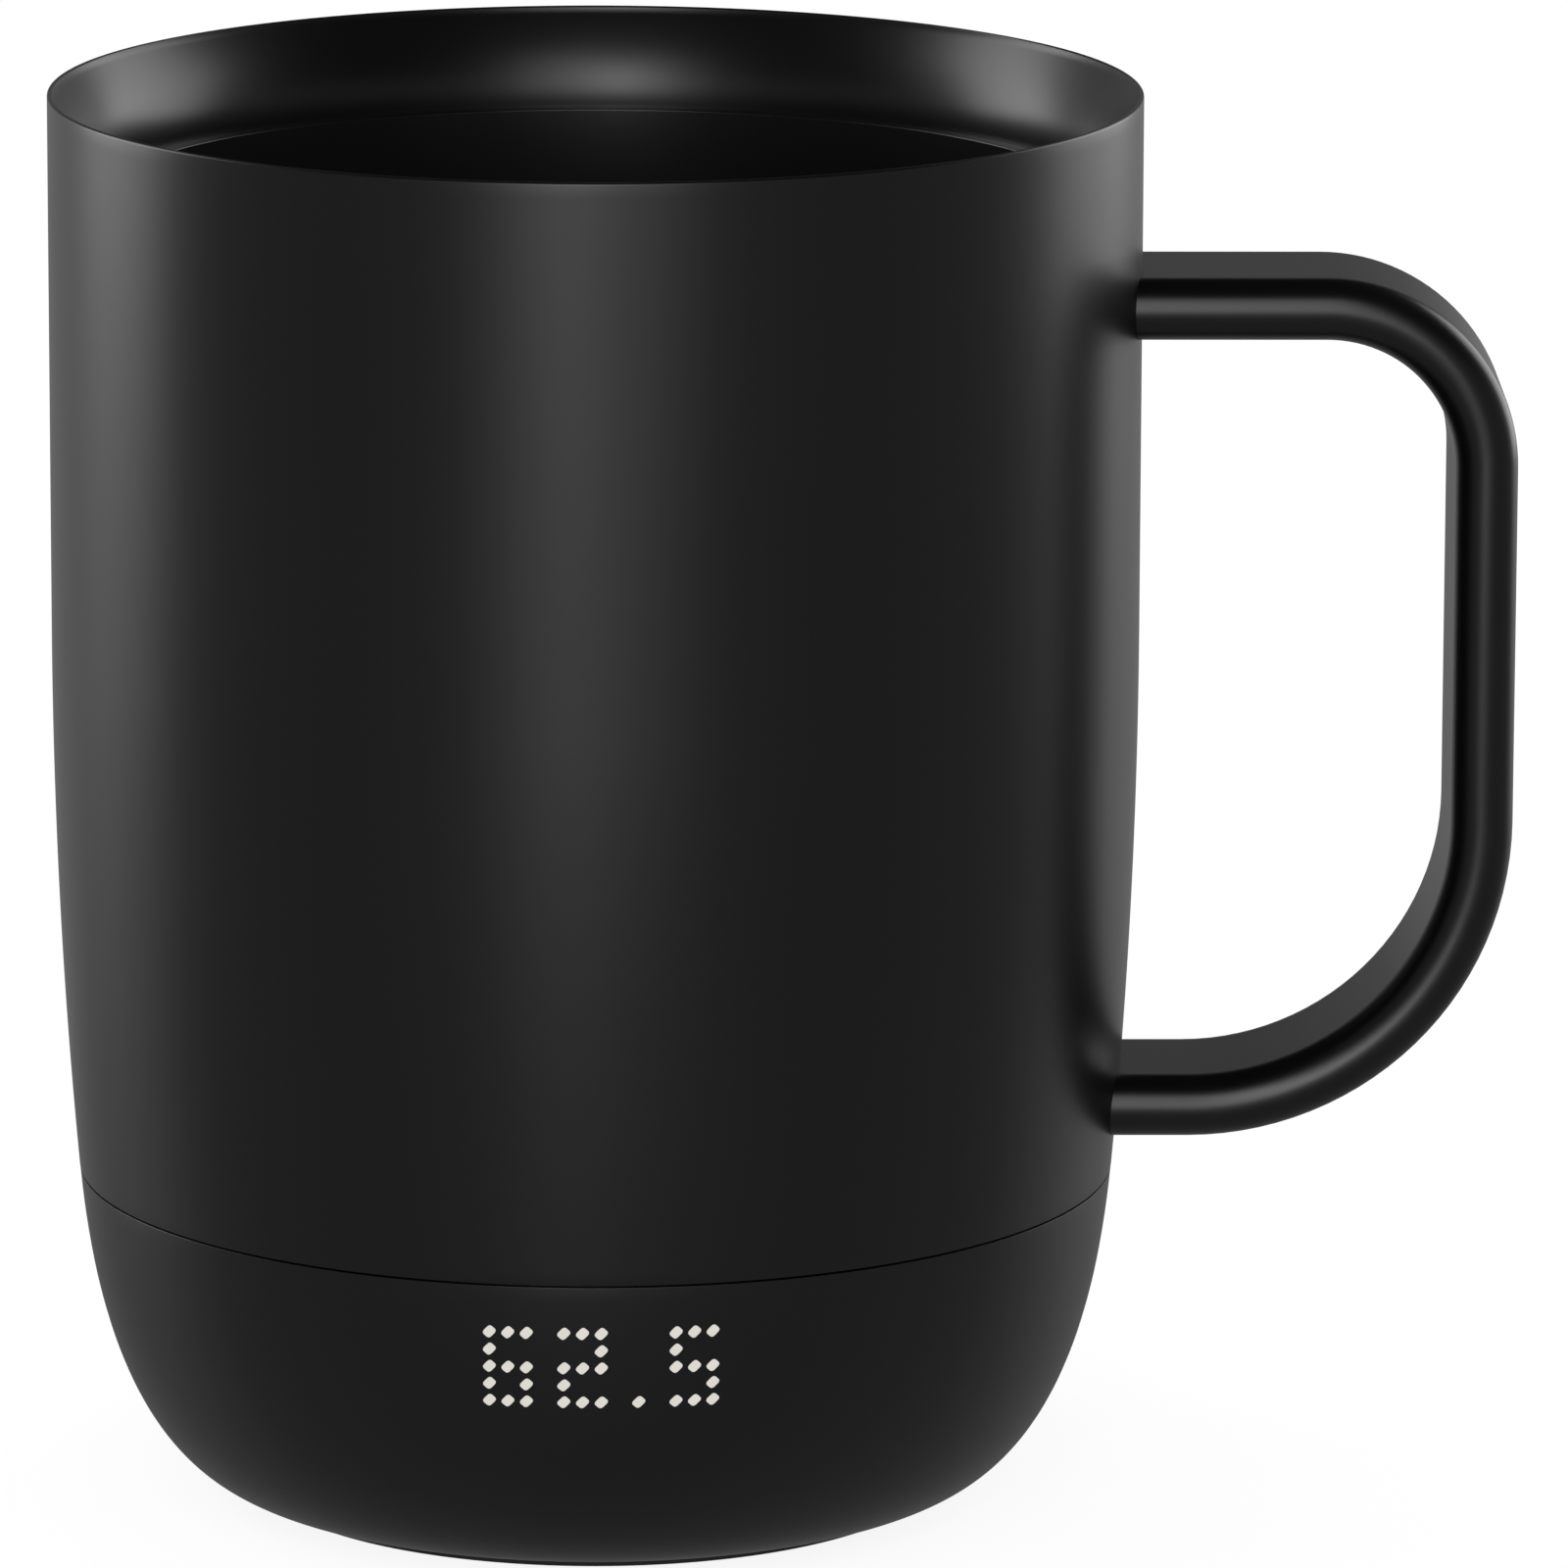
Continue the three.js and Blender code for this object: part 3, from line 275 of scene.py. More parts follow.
def finished(name, surface, colors, roughness, scale, bump, **sockets):
    """A material: a surface group under one shader, with a bump depth in metres."""
    material = bpy.data.materials.new(name)
    material.use_nodes = True
    nodes, links = material.node_tree.nodes, material.node_tree.links
    shader = nodes["Principled BSDF"]
    group = nodes.new("ShaderNodeGroup")
    group.node_tree = surface
    group.inputs["Color"].default_value = (*colors[0], 1)
    group.inputs["Second Color"].default_value = (*colors[1], 1)
    group.inputs["Scale"].default_value = scale
    group.inputs["Least Roughness"].default_value = roughness[0]
    group.inputs["Most Roughness"].default_value = roughness[1]
    relief = nodes.new("ShaderNodeBump")
    relief.inputs["Distance"].default_value = bump
    links.new(group.outputs["Color"], shader.inputs["Base Color"])
    links.new(group.outputs["Roughness"], shader.inputs["Roughness"])
    links.new(group.outputs["Height"], relief.inputs["Height"])
    links.new(relief.outputs["Normal"], shader.inputs["Normal"])
    for label, value in sockets.items():
        shader.inputs[label.replace("_", " ")].default_value = value
    return material


def placed(made, body, slot, *nodes):
    """Hangs a piece on the body it rides on and hides the imported solids it stands for. The slot
    is not used.
    """
    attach(made, body)
    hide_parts(*nodes)
    return made


powder_coat = finished(
    "powder_coat", fine_grain, (BLACK_COAT, PALER_COAT),
    roughness=(0.3, 0.33), scale=COAT_GRAIN, bump=COAT_BUMP,
)

taper = bezier(
    [(SEAM_RADIUS, SEAM_HEIGHT), (BODY_RADIUS, TAPER_MIDDLE), (BODY_RADIUS, TAPER_HEIGHT)],
    TAPER_STEPS,
)
shell_wall = [
    *taper,
    *straight((BODY_RADIUS, TAPER_HEIGHT), (BODY_RADIUS, SHELL_TOP), WALL_STEPS),
    Vector((BODY_RADIUS, SHELL_TOP)),
]
shell_inside = beside(shell_wall, SHEET)
shell = turned(
    "shell",
    eased([
        (*shell_wall[0], SHELL_EDGE), *plain(shell_wall[1:]),
        *plain(reversed(shell_inside[1:])), (*shell_inside[0], SHELL_EDGE),
    ]),
    powder_coat,
)
placed(shell, "mug_body", "black_paint", "outer_shell")

# Inner cup
# A second drawn cup with a flat floor, a narrow ledge near the top and a flared mouth that runs
# up into the thin lip. It is coated like the shell, and more smoothly where the drink stands.
LIP_TOP = 112.4 * MM
LIP_ROUND = 0.2 * MM
CUP_RADIUS = 38.2 * MM
CUP_FLOOR = 32.3 * MM
CUP_CORNER = 10 * MM
LEDGE_HEIGHT = 104.6 * MM
LEDGE_EASE = 0.12 * MM
THROAT_RADIUS = 39.43 * MM
THROAT_HANDLE = (39.5 * MM, 107 * MM)
MOUTH_HANDLE = (40.2 * MM, 108.8 * MM)
CORNER_STEPS = 14
FLARE_STEPS = 24
LIP_STEPS = 10
FLOOR_STEPS = 6
DRINK_COAT = (0.0045, 0.0045, 0.0046)
PALER_DRINK_COAT = (0.0051, 0.0051, 0.0052)


def quarter(center, width, height, start, steps):
    """A quarter of an ellipse, anticlockwise from the start angle."""
    angles = [start + math.pi / 2 * i / steps for i in range(steps + 1)]
    return [
        Vector((center[0] + width * math.cos(a), center[1] + height * math.sin(a)))
        for a in angles
    ]


def cup_side(thickness):
    """The cup's wall from the middle of the floor up to the lip."""
    flat = CUP_RADIUS - CUP_CORNER
    floor = CUP_FLOOR - thickness
    corner = quarter(
        (flat, CUP_FLOOR + CUP_CORNER), CUP_CORNER + thickness, CUP_CORNER + thickness,
        -math.pi / 2, CORNER_STEPS,
    )
    flare = beside(
        bezier(
            [
                (THROAT_RADIUS, LEDGE_HEIGHT), THROAT_HANDLE, MOUTH_HANDLE,
                (BODY_RADIUS - 2 * LIP_ROUND, LIP_TOP - LIP_ROUND),
            ],
            FLARE_STEPS,
        ),
        -thickness,
    )
    ledge = Vector((CUP_RADIUS + thickness, LEDGE_HEIGHT - thickness))
    wall = [corner[-1], *straight(corner[-1], ledge, WALL_STEPS), ledge]
    center = Vector((0, floor))
    return [center, *straight(center, corner[0], FLOOR_STEPS), *corner[:-1], *wall, *flare]


lip_center = Vector((BODY_RADIUS - LIP_ROUND, LIP_TOP - LIP_ROUND))
lip = quarter(lip_center, LIP_ROUND, LIP_ROUND, 0, LIP_STEPS)
lip += quarter(lip_center, LIP_ROUND, LIP_ROUND, math.pi / 2, LIP_STEPS)[1:]
inside = cup_side(0)
ledge_index = CORNER_STEPS + FLOOR_STEPS + WALL_STEPS
inside[ledge_index:ledge_index + 1] = bezier(
    [
        inside[ledge_index] - Vector((0, LEDGE_EASE)), inside[ledge_index],
        inside[ledge_index] + Vector((LEDGE_EASE, 0)),
    ],
    EASE_STEPS,
)
outside = [point for point in cup_side(SHEET) if point.y < SHELL_TOP]
cup = turned(
    "cup", [*outside, Vector((BODY_RADIUS, SHELL_TOP)), *lip[:-1], *reversed(inside)],
    powder_coat, closed=False,
)
drink_coat = finished(
    "drink_coat", fine_grain, (DRINK_COAT, PALER_DRINK_COAT),
    roughness=(0.21, 0.23), scale=COAT_GRAIN, bump=COAT_BUMP,
)
cup.data.materials.append(drink_coat)
for face in cup.data.polygons:
    middle = face.center - Vector((axis_place, 0, 0))
    inward = face.normal.z - face.normal.xy.dot(middle.xy.normalized())
    if inward > 0 and middle.z < LEDGE_HEIGHT - LEDGE_EASE:
        face.material_index = cup.data.materials.find(drink_coat.name)
placed(cup, "mug_body", "black_paint", "inner_cup")

# Handle
# A flat steel bar with fully rounded edges, bent twice and welded to the shell at both ends,
# then coated together with it. It is swept along its bent path and trimmed to the shell.
HANDLE_WIDTH = 16.5 * MM
HANDLE_THICKNESS = 4.9 * MM
HANDLE_TOP = 96.1 * MM
HANDLE_FOOT = 31.95 * MM
HANDLE_BAR = 70 * MM
HANDLE_START = 41 * MM
TOP_BEND = 12.7 * MM
FOOT_BEND = 23 * MM
WELD_DEPTH = 0.15 * MM
BEND_STEPS = 28
BAR_STEPS = 10
EDGE_STEPS = 14
FLAT_EDGE = 0.25 * MM


def bent_path():
    """The middle line of the bar, in the plane of the handle."""
    top_center = Vector((HANDLE_BAR - TOP_BEND, HANDLE_TOP - TOP_BEND))
    foot_center = Vector((HANDLE_BAR - FOOT_BEND, HANDLE_FOOT + FOOT_BEND))
    top = quarter(top_center, TOP_BEND, TOP_BEND, 0, BEND_STEPS)[::-1]
    foot = quarter(foot_center, FOOT_BEND, FOOT_BEND, -math.pi / 2, BEND_STEPS)[::-1]
    start, end = Vector((HANDLE_START, HANDLE_TOP)), Vector((HANDLE_START, HANDLE_FOOT))
    line = [
        start, *straight((BODY_RADIUS, HANDLE_TOP), top[0], BAR_STEPS), *top,
        *straight(top[-1], foot[0], BAR_STEPS), *foot,
        *straight(foot[-1], (BODY_RADIUS, HANDLE_FOOT), BAR_STEPS), end,
    ]
    return [(axis_place + point.x, 0, point.y) for point in line]


def bar_section():
    """A flat section with round edges."""
    round_edge = HANDLE_THICKNESS / 2
    flat = HANDLE_WIDTH / 2 - round_edge
    right = [
        (flat + round_edge * math.cos(a), round_edge * math.sin(a))
        for a in [math.pi * (i / EDGE_STEPS - 0.5) for i in range(EDGE_STEPS + 1)]
    ]
    shoulder = [(flat - FLAT_EDGE, round_edge), (FLAT_EDGE - flat, round_edge)]
    left = [(-x, -y) for x, y in right]
    return [*right, *shoulder, *left, *[(-x, -y) for x, y in shoulder]]


def sweeping_tree():
    """Sweeps a section along a path and closes both ends."""
    tree, source = new_tree("Bar along its path", [("Section", "Object")])
    path = tree.nodes.new("GeometryNodeMeshToCurve")
    info = tree.nodes.new("GeometryNodeObjectInfo")
    section = tree.nodes.new("GeometryNodeMeshToCurve")
    sweep = tree.nodes.new("GeometryNodeCurveToMesh")
    sweep.inputs["Fill Caps"].default_value = True
    tree.links.new(source.outputs["Geometry"], path.inputs["Mesh"])
    tree.links.new(source.outputs["Section"], info.inputs["Object"])
    tree.links.new(info.outputs["Geometry"], section.inputs["Mesh"])
    tree.links.new(path.outputs["Curve"], sweep.inputs["Curve"])
    tree.links.new(section.outputs["Curve"], sweep.inputs["Profile Curve"])
    return close_tree(tree, source, sweep.outputs["Mesh"])


def wall_radius(height, wall):
    """The body's radius at a height, from a rising list of wall points."""
    for low, high in zip(wall, wall[1:]):
        if low.y <= height <= high.y:
            return low.x + (high.x - low.x) * (height - low.y) / (high.y - low.y)
    return wall[-1].x


section_points = [(x, y, 0) for x, y in bar_section()]
section_count = len(section_points)
section = linked_object(
    "handle_section", section_points, [(i, (i + 1) % section_count) for i in range(section_count)]
)
path_points = bent_path()
bar_blank = linked_object(
    "handle_path", path_points, [(i, i + 1) for i in range(len(path_points) - 1)]
)
handle_bar = baked(
    "handle_bar", bar_blank, sweeping_tree(), {"Section": section, "Material": powder_coat}
)
bpy.data.objects.remove(section)
for vertex in handle_bar.data.vertices:
    if vertex.co.x - axis_place < HANDLE_START + WELD_DEPTH:
        reach = wall_radius(vertex.co.z, shell_wall) - WELD_DEPTH
        vertex.co.x = axis_place + math.sqrt(reach ** 2 - vertex.co.y ** 2)
placed(handle_bar, "mug_body", "black_paint", "handle")

# Support frame
# A glass filled plastic disc on a collar that is glued into the shell.
# Its long bosses take the screws of the base and of the battery cradle.
GREY_PLASTIC = (0.045, 0.046, 0.05)
PALER_PLASTIC = (0.06, 0.061, 0.066)


def dress(material, *names):
    """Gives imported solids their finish."""
    for name in names:
        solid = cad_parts[name]
        if not solid.material_slots:
            solid.data.materials.append(material)
        for slot in solid.material_slots:
            slot.material = material


filled_plastic = finished(
    "filled_plastic", fine_grain, (GREY_PLASTIC, PALER_PLASTIC),
    roughness=(0.5, 0.62), scale=1800, bump=0.02 * MM,
)
dress(filled_plastic, "support_frame", "battery_cradle", "power_inductor")

# Heater
# An aluminium disc, an etched foil heater in amber film and a pad of fibre, pressed up
# against the cup. A sensor stands in the middle and a thermal fuse lies in the pad.
RING_DETAIL = 2


def ring_line_group():
    """Fine rings round the mug's axis, as a lathe tool leaves them."""
    group, source, goal = shader_group("Turned rings", SURFACE_INPUTS, SURFACE_OUTPUTS)
    place = group.nodes.new("ShaderNodeTexCoord")
    center = group.nodes.new("ShaderNodeMapping")
    flatten = group.nodes.new("ShaderNodeVectorMath")
    radius = group.nodes.new("ShaderNodeVectorMath")
    rings = group.nodes.new("ShaderNodeTexNoise")
    center.inputs["Location"].default_value = (-axis_place, 0, 0)
    flatten.operation = "MULTIPLY"
    flatten.inputs[1].default_value = (1, 1, 0)
    radius.operation = "LENGTH"
    rings.noise_dimensions = "1D"
    rings.inputs["Detail"].default_value = RING_DETAIL
    group.links.new(place.outputs["Object"], center.inputs["Vector"])
    group.links.new(center.outputs["Vector"], flatten.inputs[0])
    group.links.new(flatten.outputs["Vector"], radius.inputs[0])
    group.links.new(radius.outputs["Value"], rings.inputs["W"])
    group.links.new(source.outputs["Scale"], rings.inputs["Scale"])
    return close_surface(group, source, goal, rings.outputs["Fac"])


turned_rings = ring_line_group()
dress(
    finished(
        "spreader_aluminium", turned_rings, ((0.74, 0.75, 0.76), (0.82, 0.83, 0.84)),
        roughness=(0.25, 0.38), scale=4000, bump=0.004 * MM, Metallic=1,
    ),
    "heat_spreader",
)
dress(
    finished(
        "amber_film", fine_grain, ((0.42, 0.11, 0.01), (0.56, 0.19, 0.02)),
        roughness=(0.22, 0.32), scale=900, bump=0.004 * MM, Coat_Weight=0.4,
    ),
    "heater_film", "display_ribbon",
)
dress(
    finished(
        "pad_fibre", fine_grain, ((0.62, 0.58, 0.5), (0.78, 0.74, 0.66)),
        roughness=(0.88, 0.98), scale=900, bump=0.15 * MM, Sheen_Weight=0.4,
    ),
    "insulation_pad",
)
dress(
    finished(
        "chip_black", fine_grain, ((0.007, 0.007, 0.008), (0.012, 0.012, 0.013)),
        roughness=(0.42, 0.55), scale=3000, bump=0.01 * MM,
    ),
    "temperature_sensor", "control_chip", "charger_chip", "switch_body",
)
white_plastic = finished(
    "white_plastic", fine_grain, ((0.82, 0.81, 0.77), (0.88, 0.87, 0.84)),
    roughness=(0.45, 0.58), scale=2200, bump=0.006 * MM,
)
dress(white_plastic, "thermal_fuse", "display_connector", "switch_plunger")
dress(
    finished(
        "red_insulation", fine_grain, ((0.34, 0.012, 0.012), (0.44, 0.02, 0.02)),
        roughness=(0.35, 0.48), scale=1500, bump=0.008 * MM,
    ),
    "heater_lead_1", "heater_lead_2",
)

# Battery
# Two lithium cells in blue shrink sleeves, their bare steel ends joined by welded strips.
# They lie side by side in a moulded cradle under the frame.
SLEEVE_REACH = 16.4 * MM
SLEEVE_FADE = 0.1 * MM
BRUSH_STRETCH = (0.05, 1, 1)
BRUSH_DETAIL = 4


def sleeve_group():
    """A shrink sleeve with slow drifts of gloss that leaves the ends of a cell bare."""
    group, source, goal = shader_group(
        "Cell sleeve", SURFACE_INPUTS, [*SURFACE_OUTPUTS, ("Bare", "Float")]
    )
    place = group.nodes.new("ShaderNodeTexCoord")
    center = group.nodes.new("ShaderNodeMapping")
    parts = group.nodes.new("ShaderNodeSeparateXYZ")
    reach = group.nodes.new("ShaderNodeMath")
    bare = group.nodes.new("ShaderNodeMapRange")
    drift = group.nodes.new("ShaderNodeTexNoise")
    center.inputs["Location"].default_value = (-axis_place, 0, 0)
    reach.operation = "ABSOLUTE"
    bare.inputs["From Min"].default_value = SLEEVE_REACH
    bare.inputs["From Max"].default_value = SLEEVE_REACH + SLEEVE_FADE
    group.links.new(place.outputs["Object"], center.inputs["Vector"])
    group.links.new(place.outputs["Object"], drift.inputs["Vector"])
    group.links.new(source.outputs["Scale"], drift.inputs["Scale"])
    group.links.new(center.outputs["Vector"], parts.inputs["Vector"])
    group.links.new(parts.outputs["X"], reach.inputs[0])
    group.links.new(reach.outputs["Value"], bare.inputs["Value"])
    group.links.new(bare.outputs["Result"], goal.inputs["Bare"])
    return close_surface(group, source, goal, bare.outputs["Result"], drift.outputs["Fac"])


sleeve = finished(
    "cell_sleeve", sleeve_group(), ((0.03, 0.16, 0.35), (0.6, 0.58, 0.54)),
    roughness=(0.25, 0.4), scale=260, bump=0.02 * MM,
)
sleeve_nodes = sleeve.node_tree.nodes
sleeve.node_tree.links.new(
    sleeve_nodes["Group"].outputs["Bare"], sleeve_nodes["Principled BSDF"].inputs["Metallic"]
)
dress(sleeve, "battery_cell_1", "battery_cell_2")


def brushed_group():
    """Straight brush marks along X, for strip and sheet metal."""
    group, source, goal = shader_group("Brush marks", SURFACE_INPUTS, SURFACE_OUTPUTS)
    place = group.nodes.new("ShaderNodeTexCoord")
    stretch = group.nodes.new("ShaderNodeMapping")
    marks = group.nodes.new("ShaderNodeTexNoise")
    stretch.inputs["Scale"].default_value = BRUSH_STRETCH
    marks.inputs["Detail"].default_value = BRUSH_DETAIL
    group.links.new(place.outputs["Object"], stretch.inputs["Vector"])
    group.links.new(stretch.outputs["Vector"], marks.inputs["Vector"])
    group.links.new(source.outputs["Scale"], marks.inputs["Scale"])
    return close_surface(group, source, goal, marks.outputs["Fac"])


brush_marks = brushed_group()
dress(
    finished(
        "nickel_strip", brush_marks, ((0.56, 0.54, 0.5), (0.68, 0.66, 0.62)),
        roughness=(0.22, 0.36), scale=5000, bump=0.003 * MM, Metallic=1,
    ),
    "cell_link", "cell_tab_1", "cell_tab_2", "radio_module",
)

# Boards
# Green fibreglass boards with copper tracks under the solder mask: a round main board below
# the cradle, and a thin one that is bent to the wall behind the display.
TRACK_DISORDER = 0.35
TRACK_FROM, TRACK_TO = 0.32, 0.36


def track_group():
    """Copper tracks that show as a paler, slightly raised net under a solder mask."""
    group, source, goal = shader_group("Board tracks", SURFACE_INPUTS, SURFACE_OUTPUTS)
    place = group.nodes.new("ShaderNodeTexCoord")
    cells = group.nodes.new("ShaderNodeTexVoronoi")
    track = group.nodes.new("ShaderNodeMapRange")
    cells.distance = "CHEBYCHEV"
    cells.feature = "F1"
    cells.inputs["Randomness"].default_value = TRACK_DISORDER
    track.inputs["From Min"].default_value = TRACK_FROM
    track.inputs["From Max"].default_value = TRACK_TO
    group.links.new(place.outputs["Object"], cells.inputs["Vector"])
    group.links.new(source.outputs["Scale"], cells.inputs["Scale"])
    group.links.new(cells.outputs["Distance"], track.inputs["Value"])
    return close_surface(group, source, goal, track.outputs["Result"])


dress(
    finished(
        "solder_mask", track_group(), ((0.01, 0.085, 0.03), (0.02, 0.16, 0.06)),
        roughness=(0.2, 0.3), scale=620, bump=0.03 * MM,
    ),
    "main_board", "display_board",
)

# Base shell
# A deep black bowl, moulded with a spigot that plugs into the shell and a flat underside.
# Its front wall is thinned from inside so that the number display shines through.
UNDERSIDE_RADIUS = 28.4 * MM
UNDERSIDE_HEIGHT = 0.8 * MM
BOWL_HANDLE = (38.928 * MM, 1.055 * MM)
BASE_WALL = 1.8 * MM
BASE_TOP = 26.14 * MM
BASE_TOP_RADIUS = 41.1236 * MM
SPIGOT_RADIUS = 40.45 * MM
SPIGOT_INSIDE = 38.95 * MM
SPIGOT_TOP = 29.9 * MM
FLOOR_TOP = 2.6 * MM
FOOT_INSIDE = 23.1 * MM
FOOT_OUTSIDE = 27.3 * MM
FOOT_GAP = 0.1 * MM
GROOVE_TOP = 1.8 * MM
RECESS_RADIUS = 22 * MM
SEAT_OUTSIDE = 24 * MM
SEAT_INSIDE = 17.6 * MM
SEAT_BOTTOM = 2.9 * MM
SEAT_TOP = 4.6 * MM
MOULD_EDGE = 0.15 * MM
BOWL_STEPS = 56
BOWL_INSIDE_STEPS = 28
POST_RADIUS = 3 * MM
POST_FOOT = 2.15 * MM
POST_TOP = 5 * MM
HEAD_HOLE = 1.9 * MM
HEAD_HOLE_TOP = 3 * MM
SHANK_HOLE = 1.05 * MM
ROUND_SIDES = 48
DISPLAY_SKIN = 0.7 * MM
POCKET_DEPTH = 2.8 * MM
POCKET_HEIGHT = (15.075 * MM, 23.925 * MM)
POCKET_WIDTH = (-9.725 * MM, 10.725 * MM)
POCKET_SLOPE = 0.1805
POCKET_STEPS = 24
POCKET_RADIUS = 40.1426 * MM
CUT_PAST = 1 * MM
PALER_MOULDING = (0.0016, 0.0016, 0.00165)


def cylinder(radius, low, high, place):
    """An upright cylinder, to join to a piece or cut from it."""
    made = linked_object("cutter", [])
    shape = bmesh.new()
    middle = Matrix.Translation((place[0], place[1], (low + high) / 2))
    bmesh.ops.create_cone(
        shape, cap_ends=True, segments=ROUND_SIDES,
        radius1=radius, radius2=radius, depth=high - low, matrix=middle,
    )
    shape.to_mesh(made.data)
    shape.free()
    return made


def carved(made, joins=(), cuts=()):
    """A piece with shapes joined to it and cut from it; the shapes are used up."""
    tools = [("UNION", tool) for tool in joins] + [("DIFFERENCE", tool) for tool in cuts]
    for operation, tool in tools:
        step = made.modifiers.new(operation, "BOOLEAN")
        step.operation, step.object, step.solver = operation, tool, "EXACT"
    bpy.context.view_layer.update()
    evaluated = made.evaluated_get(bpy.context.evaluated_depsgraph_get())
    mesh = bpy.data.meshes.new_from_object(evaluated)
    made.modifiers.clear()
    made.data = mesh
    for _, tool in tools:
        bpy.data.objects.remove(tool)
    smoothed(mesh)
    return made


def middle_of(name):
    """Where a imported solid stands, seen from above."""
    low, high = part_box(name)
    return (low.x + high.x) / 2, (low.y + high.y) / 2


def display_pocket():
    """The curved pocket behind the display, between the skin and the room inside."""
    points, faces = [], []
    for i in range(POCKET_STEPS + 1):
        across = POCKET_WIDTH[0] + (POCKET_WIDTH[1] - POCKET_WIDTH[0]) * i / POCKET_STEPS
        for height in POCKET_HEIGHT:
            rise = (height - sum(POCKET_HEIGHT) / 2) * POCKET_SLOPE
            for depth in (DISPLAY_SKIN, POCKET_DEPTH):
                radius = POCKET_RADIUS + rise - depth
                points.append((axis_place + across, -math.sqrt(radius ** 2 - across ** 2), height))
    for i in range(POCKET_STEPS):
        a, b = 4 * i, 4 * i + 4
        faces += [(a + p, a + q, b + q, b + p) for p, q in ((0, 1), (1, 3), (3, 2), (2, 0))]
    faces += [(0, 2, 3, 1), (b, b + 1, b + 3, b + 2)]
    return linked_object("display_pocket", points, faces=faces)


moulded_black = finished(
    "moulded_black", fine_grain, (BLACK_COAT, PALER_MOULDING),
    roughness=(0.31, 0.34), scale=2000, bump=0.0015 * MM,
)
bowl = bezier(
    [
        (UNDERSIDE_RADIUS, UNDERSIDE_HEIGHT), (UNDERSIDE_RADIUS, UNDERSIDE_HEIGHT),
        BOWL_HANDLE, (BASE_TOP_RADIUS, BASE_TOP),
    ],
    BOWL_STEPS,
)
bowl_inside = beside(bowl, BASE_WALL)[::BOWL_STEPS // BOWL_INSIDE_STEPS]
base = turned(
    "base",
    eased([
        (RECESS_RADIUS, UNDERSIDE_HEIGHT, MOULD_EDGE),
        (FOOT_INSIDE - FOOT_GAP, UNDERSIDE_HEIGHT, MOULD_EDGE),
        (FOOT_INSIDE - FOOT_GAP, GROOVE_TOP, 0),
        (FOOT_OUTSIDE + FOOT_GAP, GROOVE_TOP, 0),
        (FOOT_OUTSIDE + FOOT_GAP, UNDERSIDE_HEIGHT, MOULD_EDGE),
        *plain(bowl[:-1]),
        (*bowl[-1], SHELL_EDGE),
        (SPIGOT_RADIUS, BASE_TOP, 0),
        (SPIGOT_RADIUS, SPIGOT_TOP, MOULD_EDGE),
        (SPIGOT_INSIDE, SPIGOT_TOP, MOULD_EDGE),
        *plain(reversed(bowl_inside[1:])),
        (SEAT_OUTSIDE, FLOOR_TOP, 0),
        (SEAT_OUTSIDE, SEAT_TOP, MOULD_EDGE),
        (SEAT_INSIDE, SEAT_TOP, MOULD_EDGE),
        (SEAT_INSIDE, SEAT_BOTTOM, MOULD_EDGE),
        (RECESS_RADIUS, SEAT_BOTTOM, 0),
    ]),
    moulded_black,
)
base_screw_places = [middle_of("base_screw_" + str(i)) for i in (1, 2, 3)]
cover_screw_places = [middle_of("cover_screw_" + str(i)) for i in (1, 2, 3)]
carved(
    base,
    joins=[cylinder(POST_RADIUS, POST_FOOT, POST_TOP, place) for place in base_screw_places],
    cuts=[
        *[cylinder(HEAD_HOLE, GROOVE_TOP - FOOT_GAP, HEAD_HOLE_TOP, p) for p in base_screw_places],
        *[cylinder(SHANK_HOLE, GROOVE_TOP, POST_TOP + CUT_PAST, p) for p in base_screw_places],
        *[
            cylinder(SHANK_HOLE, SEAT_BOTTOM - CUT_PAST, SEAT_TOP + CUT_PAST, p)
            for p in cover_screw_places
        ],
        display_pocket(),
    ],
)
placed(base, "mug_body", "black_plastic", "base_shell")

# Seal and foot ring
# A flat silicone seal lies on the spigot inside the shell. The foot ring is a soft silicone
# band pressed into its groove, and it hides the screws that hold the base.
FOOT_TOP = 1.7 * MM
FOOT_EDGE = 0.25 * MM
silicone = finished(
    "black_silicone", fine_grain, ((0.013, 0.013, 0.014), (0.019, 0.019, 0.02)),
    roughness=(0.68, 0.82), scale=1600, bump=0.01 * MM,
)
foot = turned(
    "foot",
    eased([
        (FOOT_INSIDE, 0, FOOT_EDGE), (FOOT_OUTSIDE, 0, FOOT_EDGE),
        (FOOT_OUTSIDE, FOOT_TOP, MOULD_EDGE), (FOOT_INSIDE, FOOT_TOP, MOULD_EDGE),
    ]),
    silicone,
)
placed(foot, "mug_body", "black_silicone", "foot_ring")
dress(silicone, "base_seal", "button_gasket")

# Number display
# Lamps on a bent board shine through a white baffle and a diffuser film, and light up dots
# in the thin skin of the base. The dots are glowing plugs set level with the wall.
DISPLAY_HEIGHT = 19.55 * MM
DISPLAY_OFFSET = 0.42 * MM
DISPLAY_COLUMNS = 13
DOT_PITCH = 1.445 * MM
ROW_PITCH = 1.43 * MM
DOT_PROUD = 0.012 * MM
DOT_DEPTH = 0.1 * MM
DOT_ARMS = ((0.605 * MM, 0.09 * MM), (0.05 * MM, 0.6 * MM))
DOT_CORNER = 0.34
DOT_STEPS = 5
LIT_ROWS = (
    "###.###...###",
    "#.....#...#..",
    "###.###...###",
    "#.#.#.......#",
    "###.###.#.###",
)


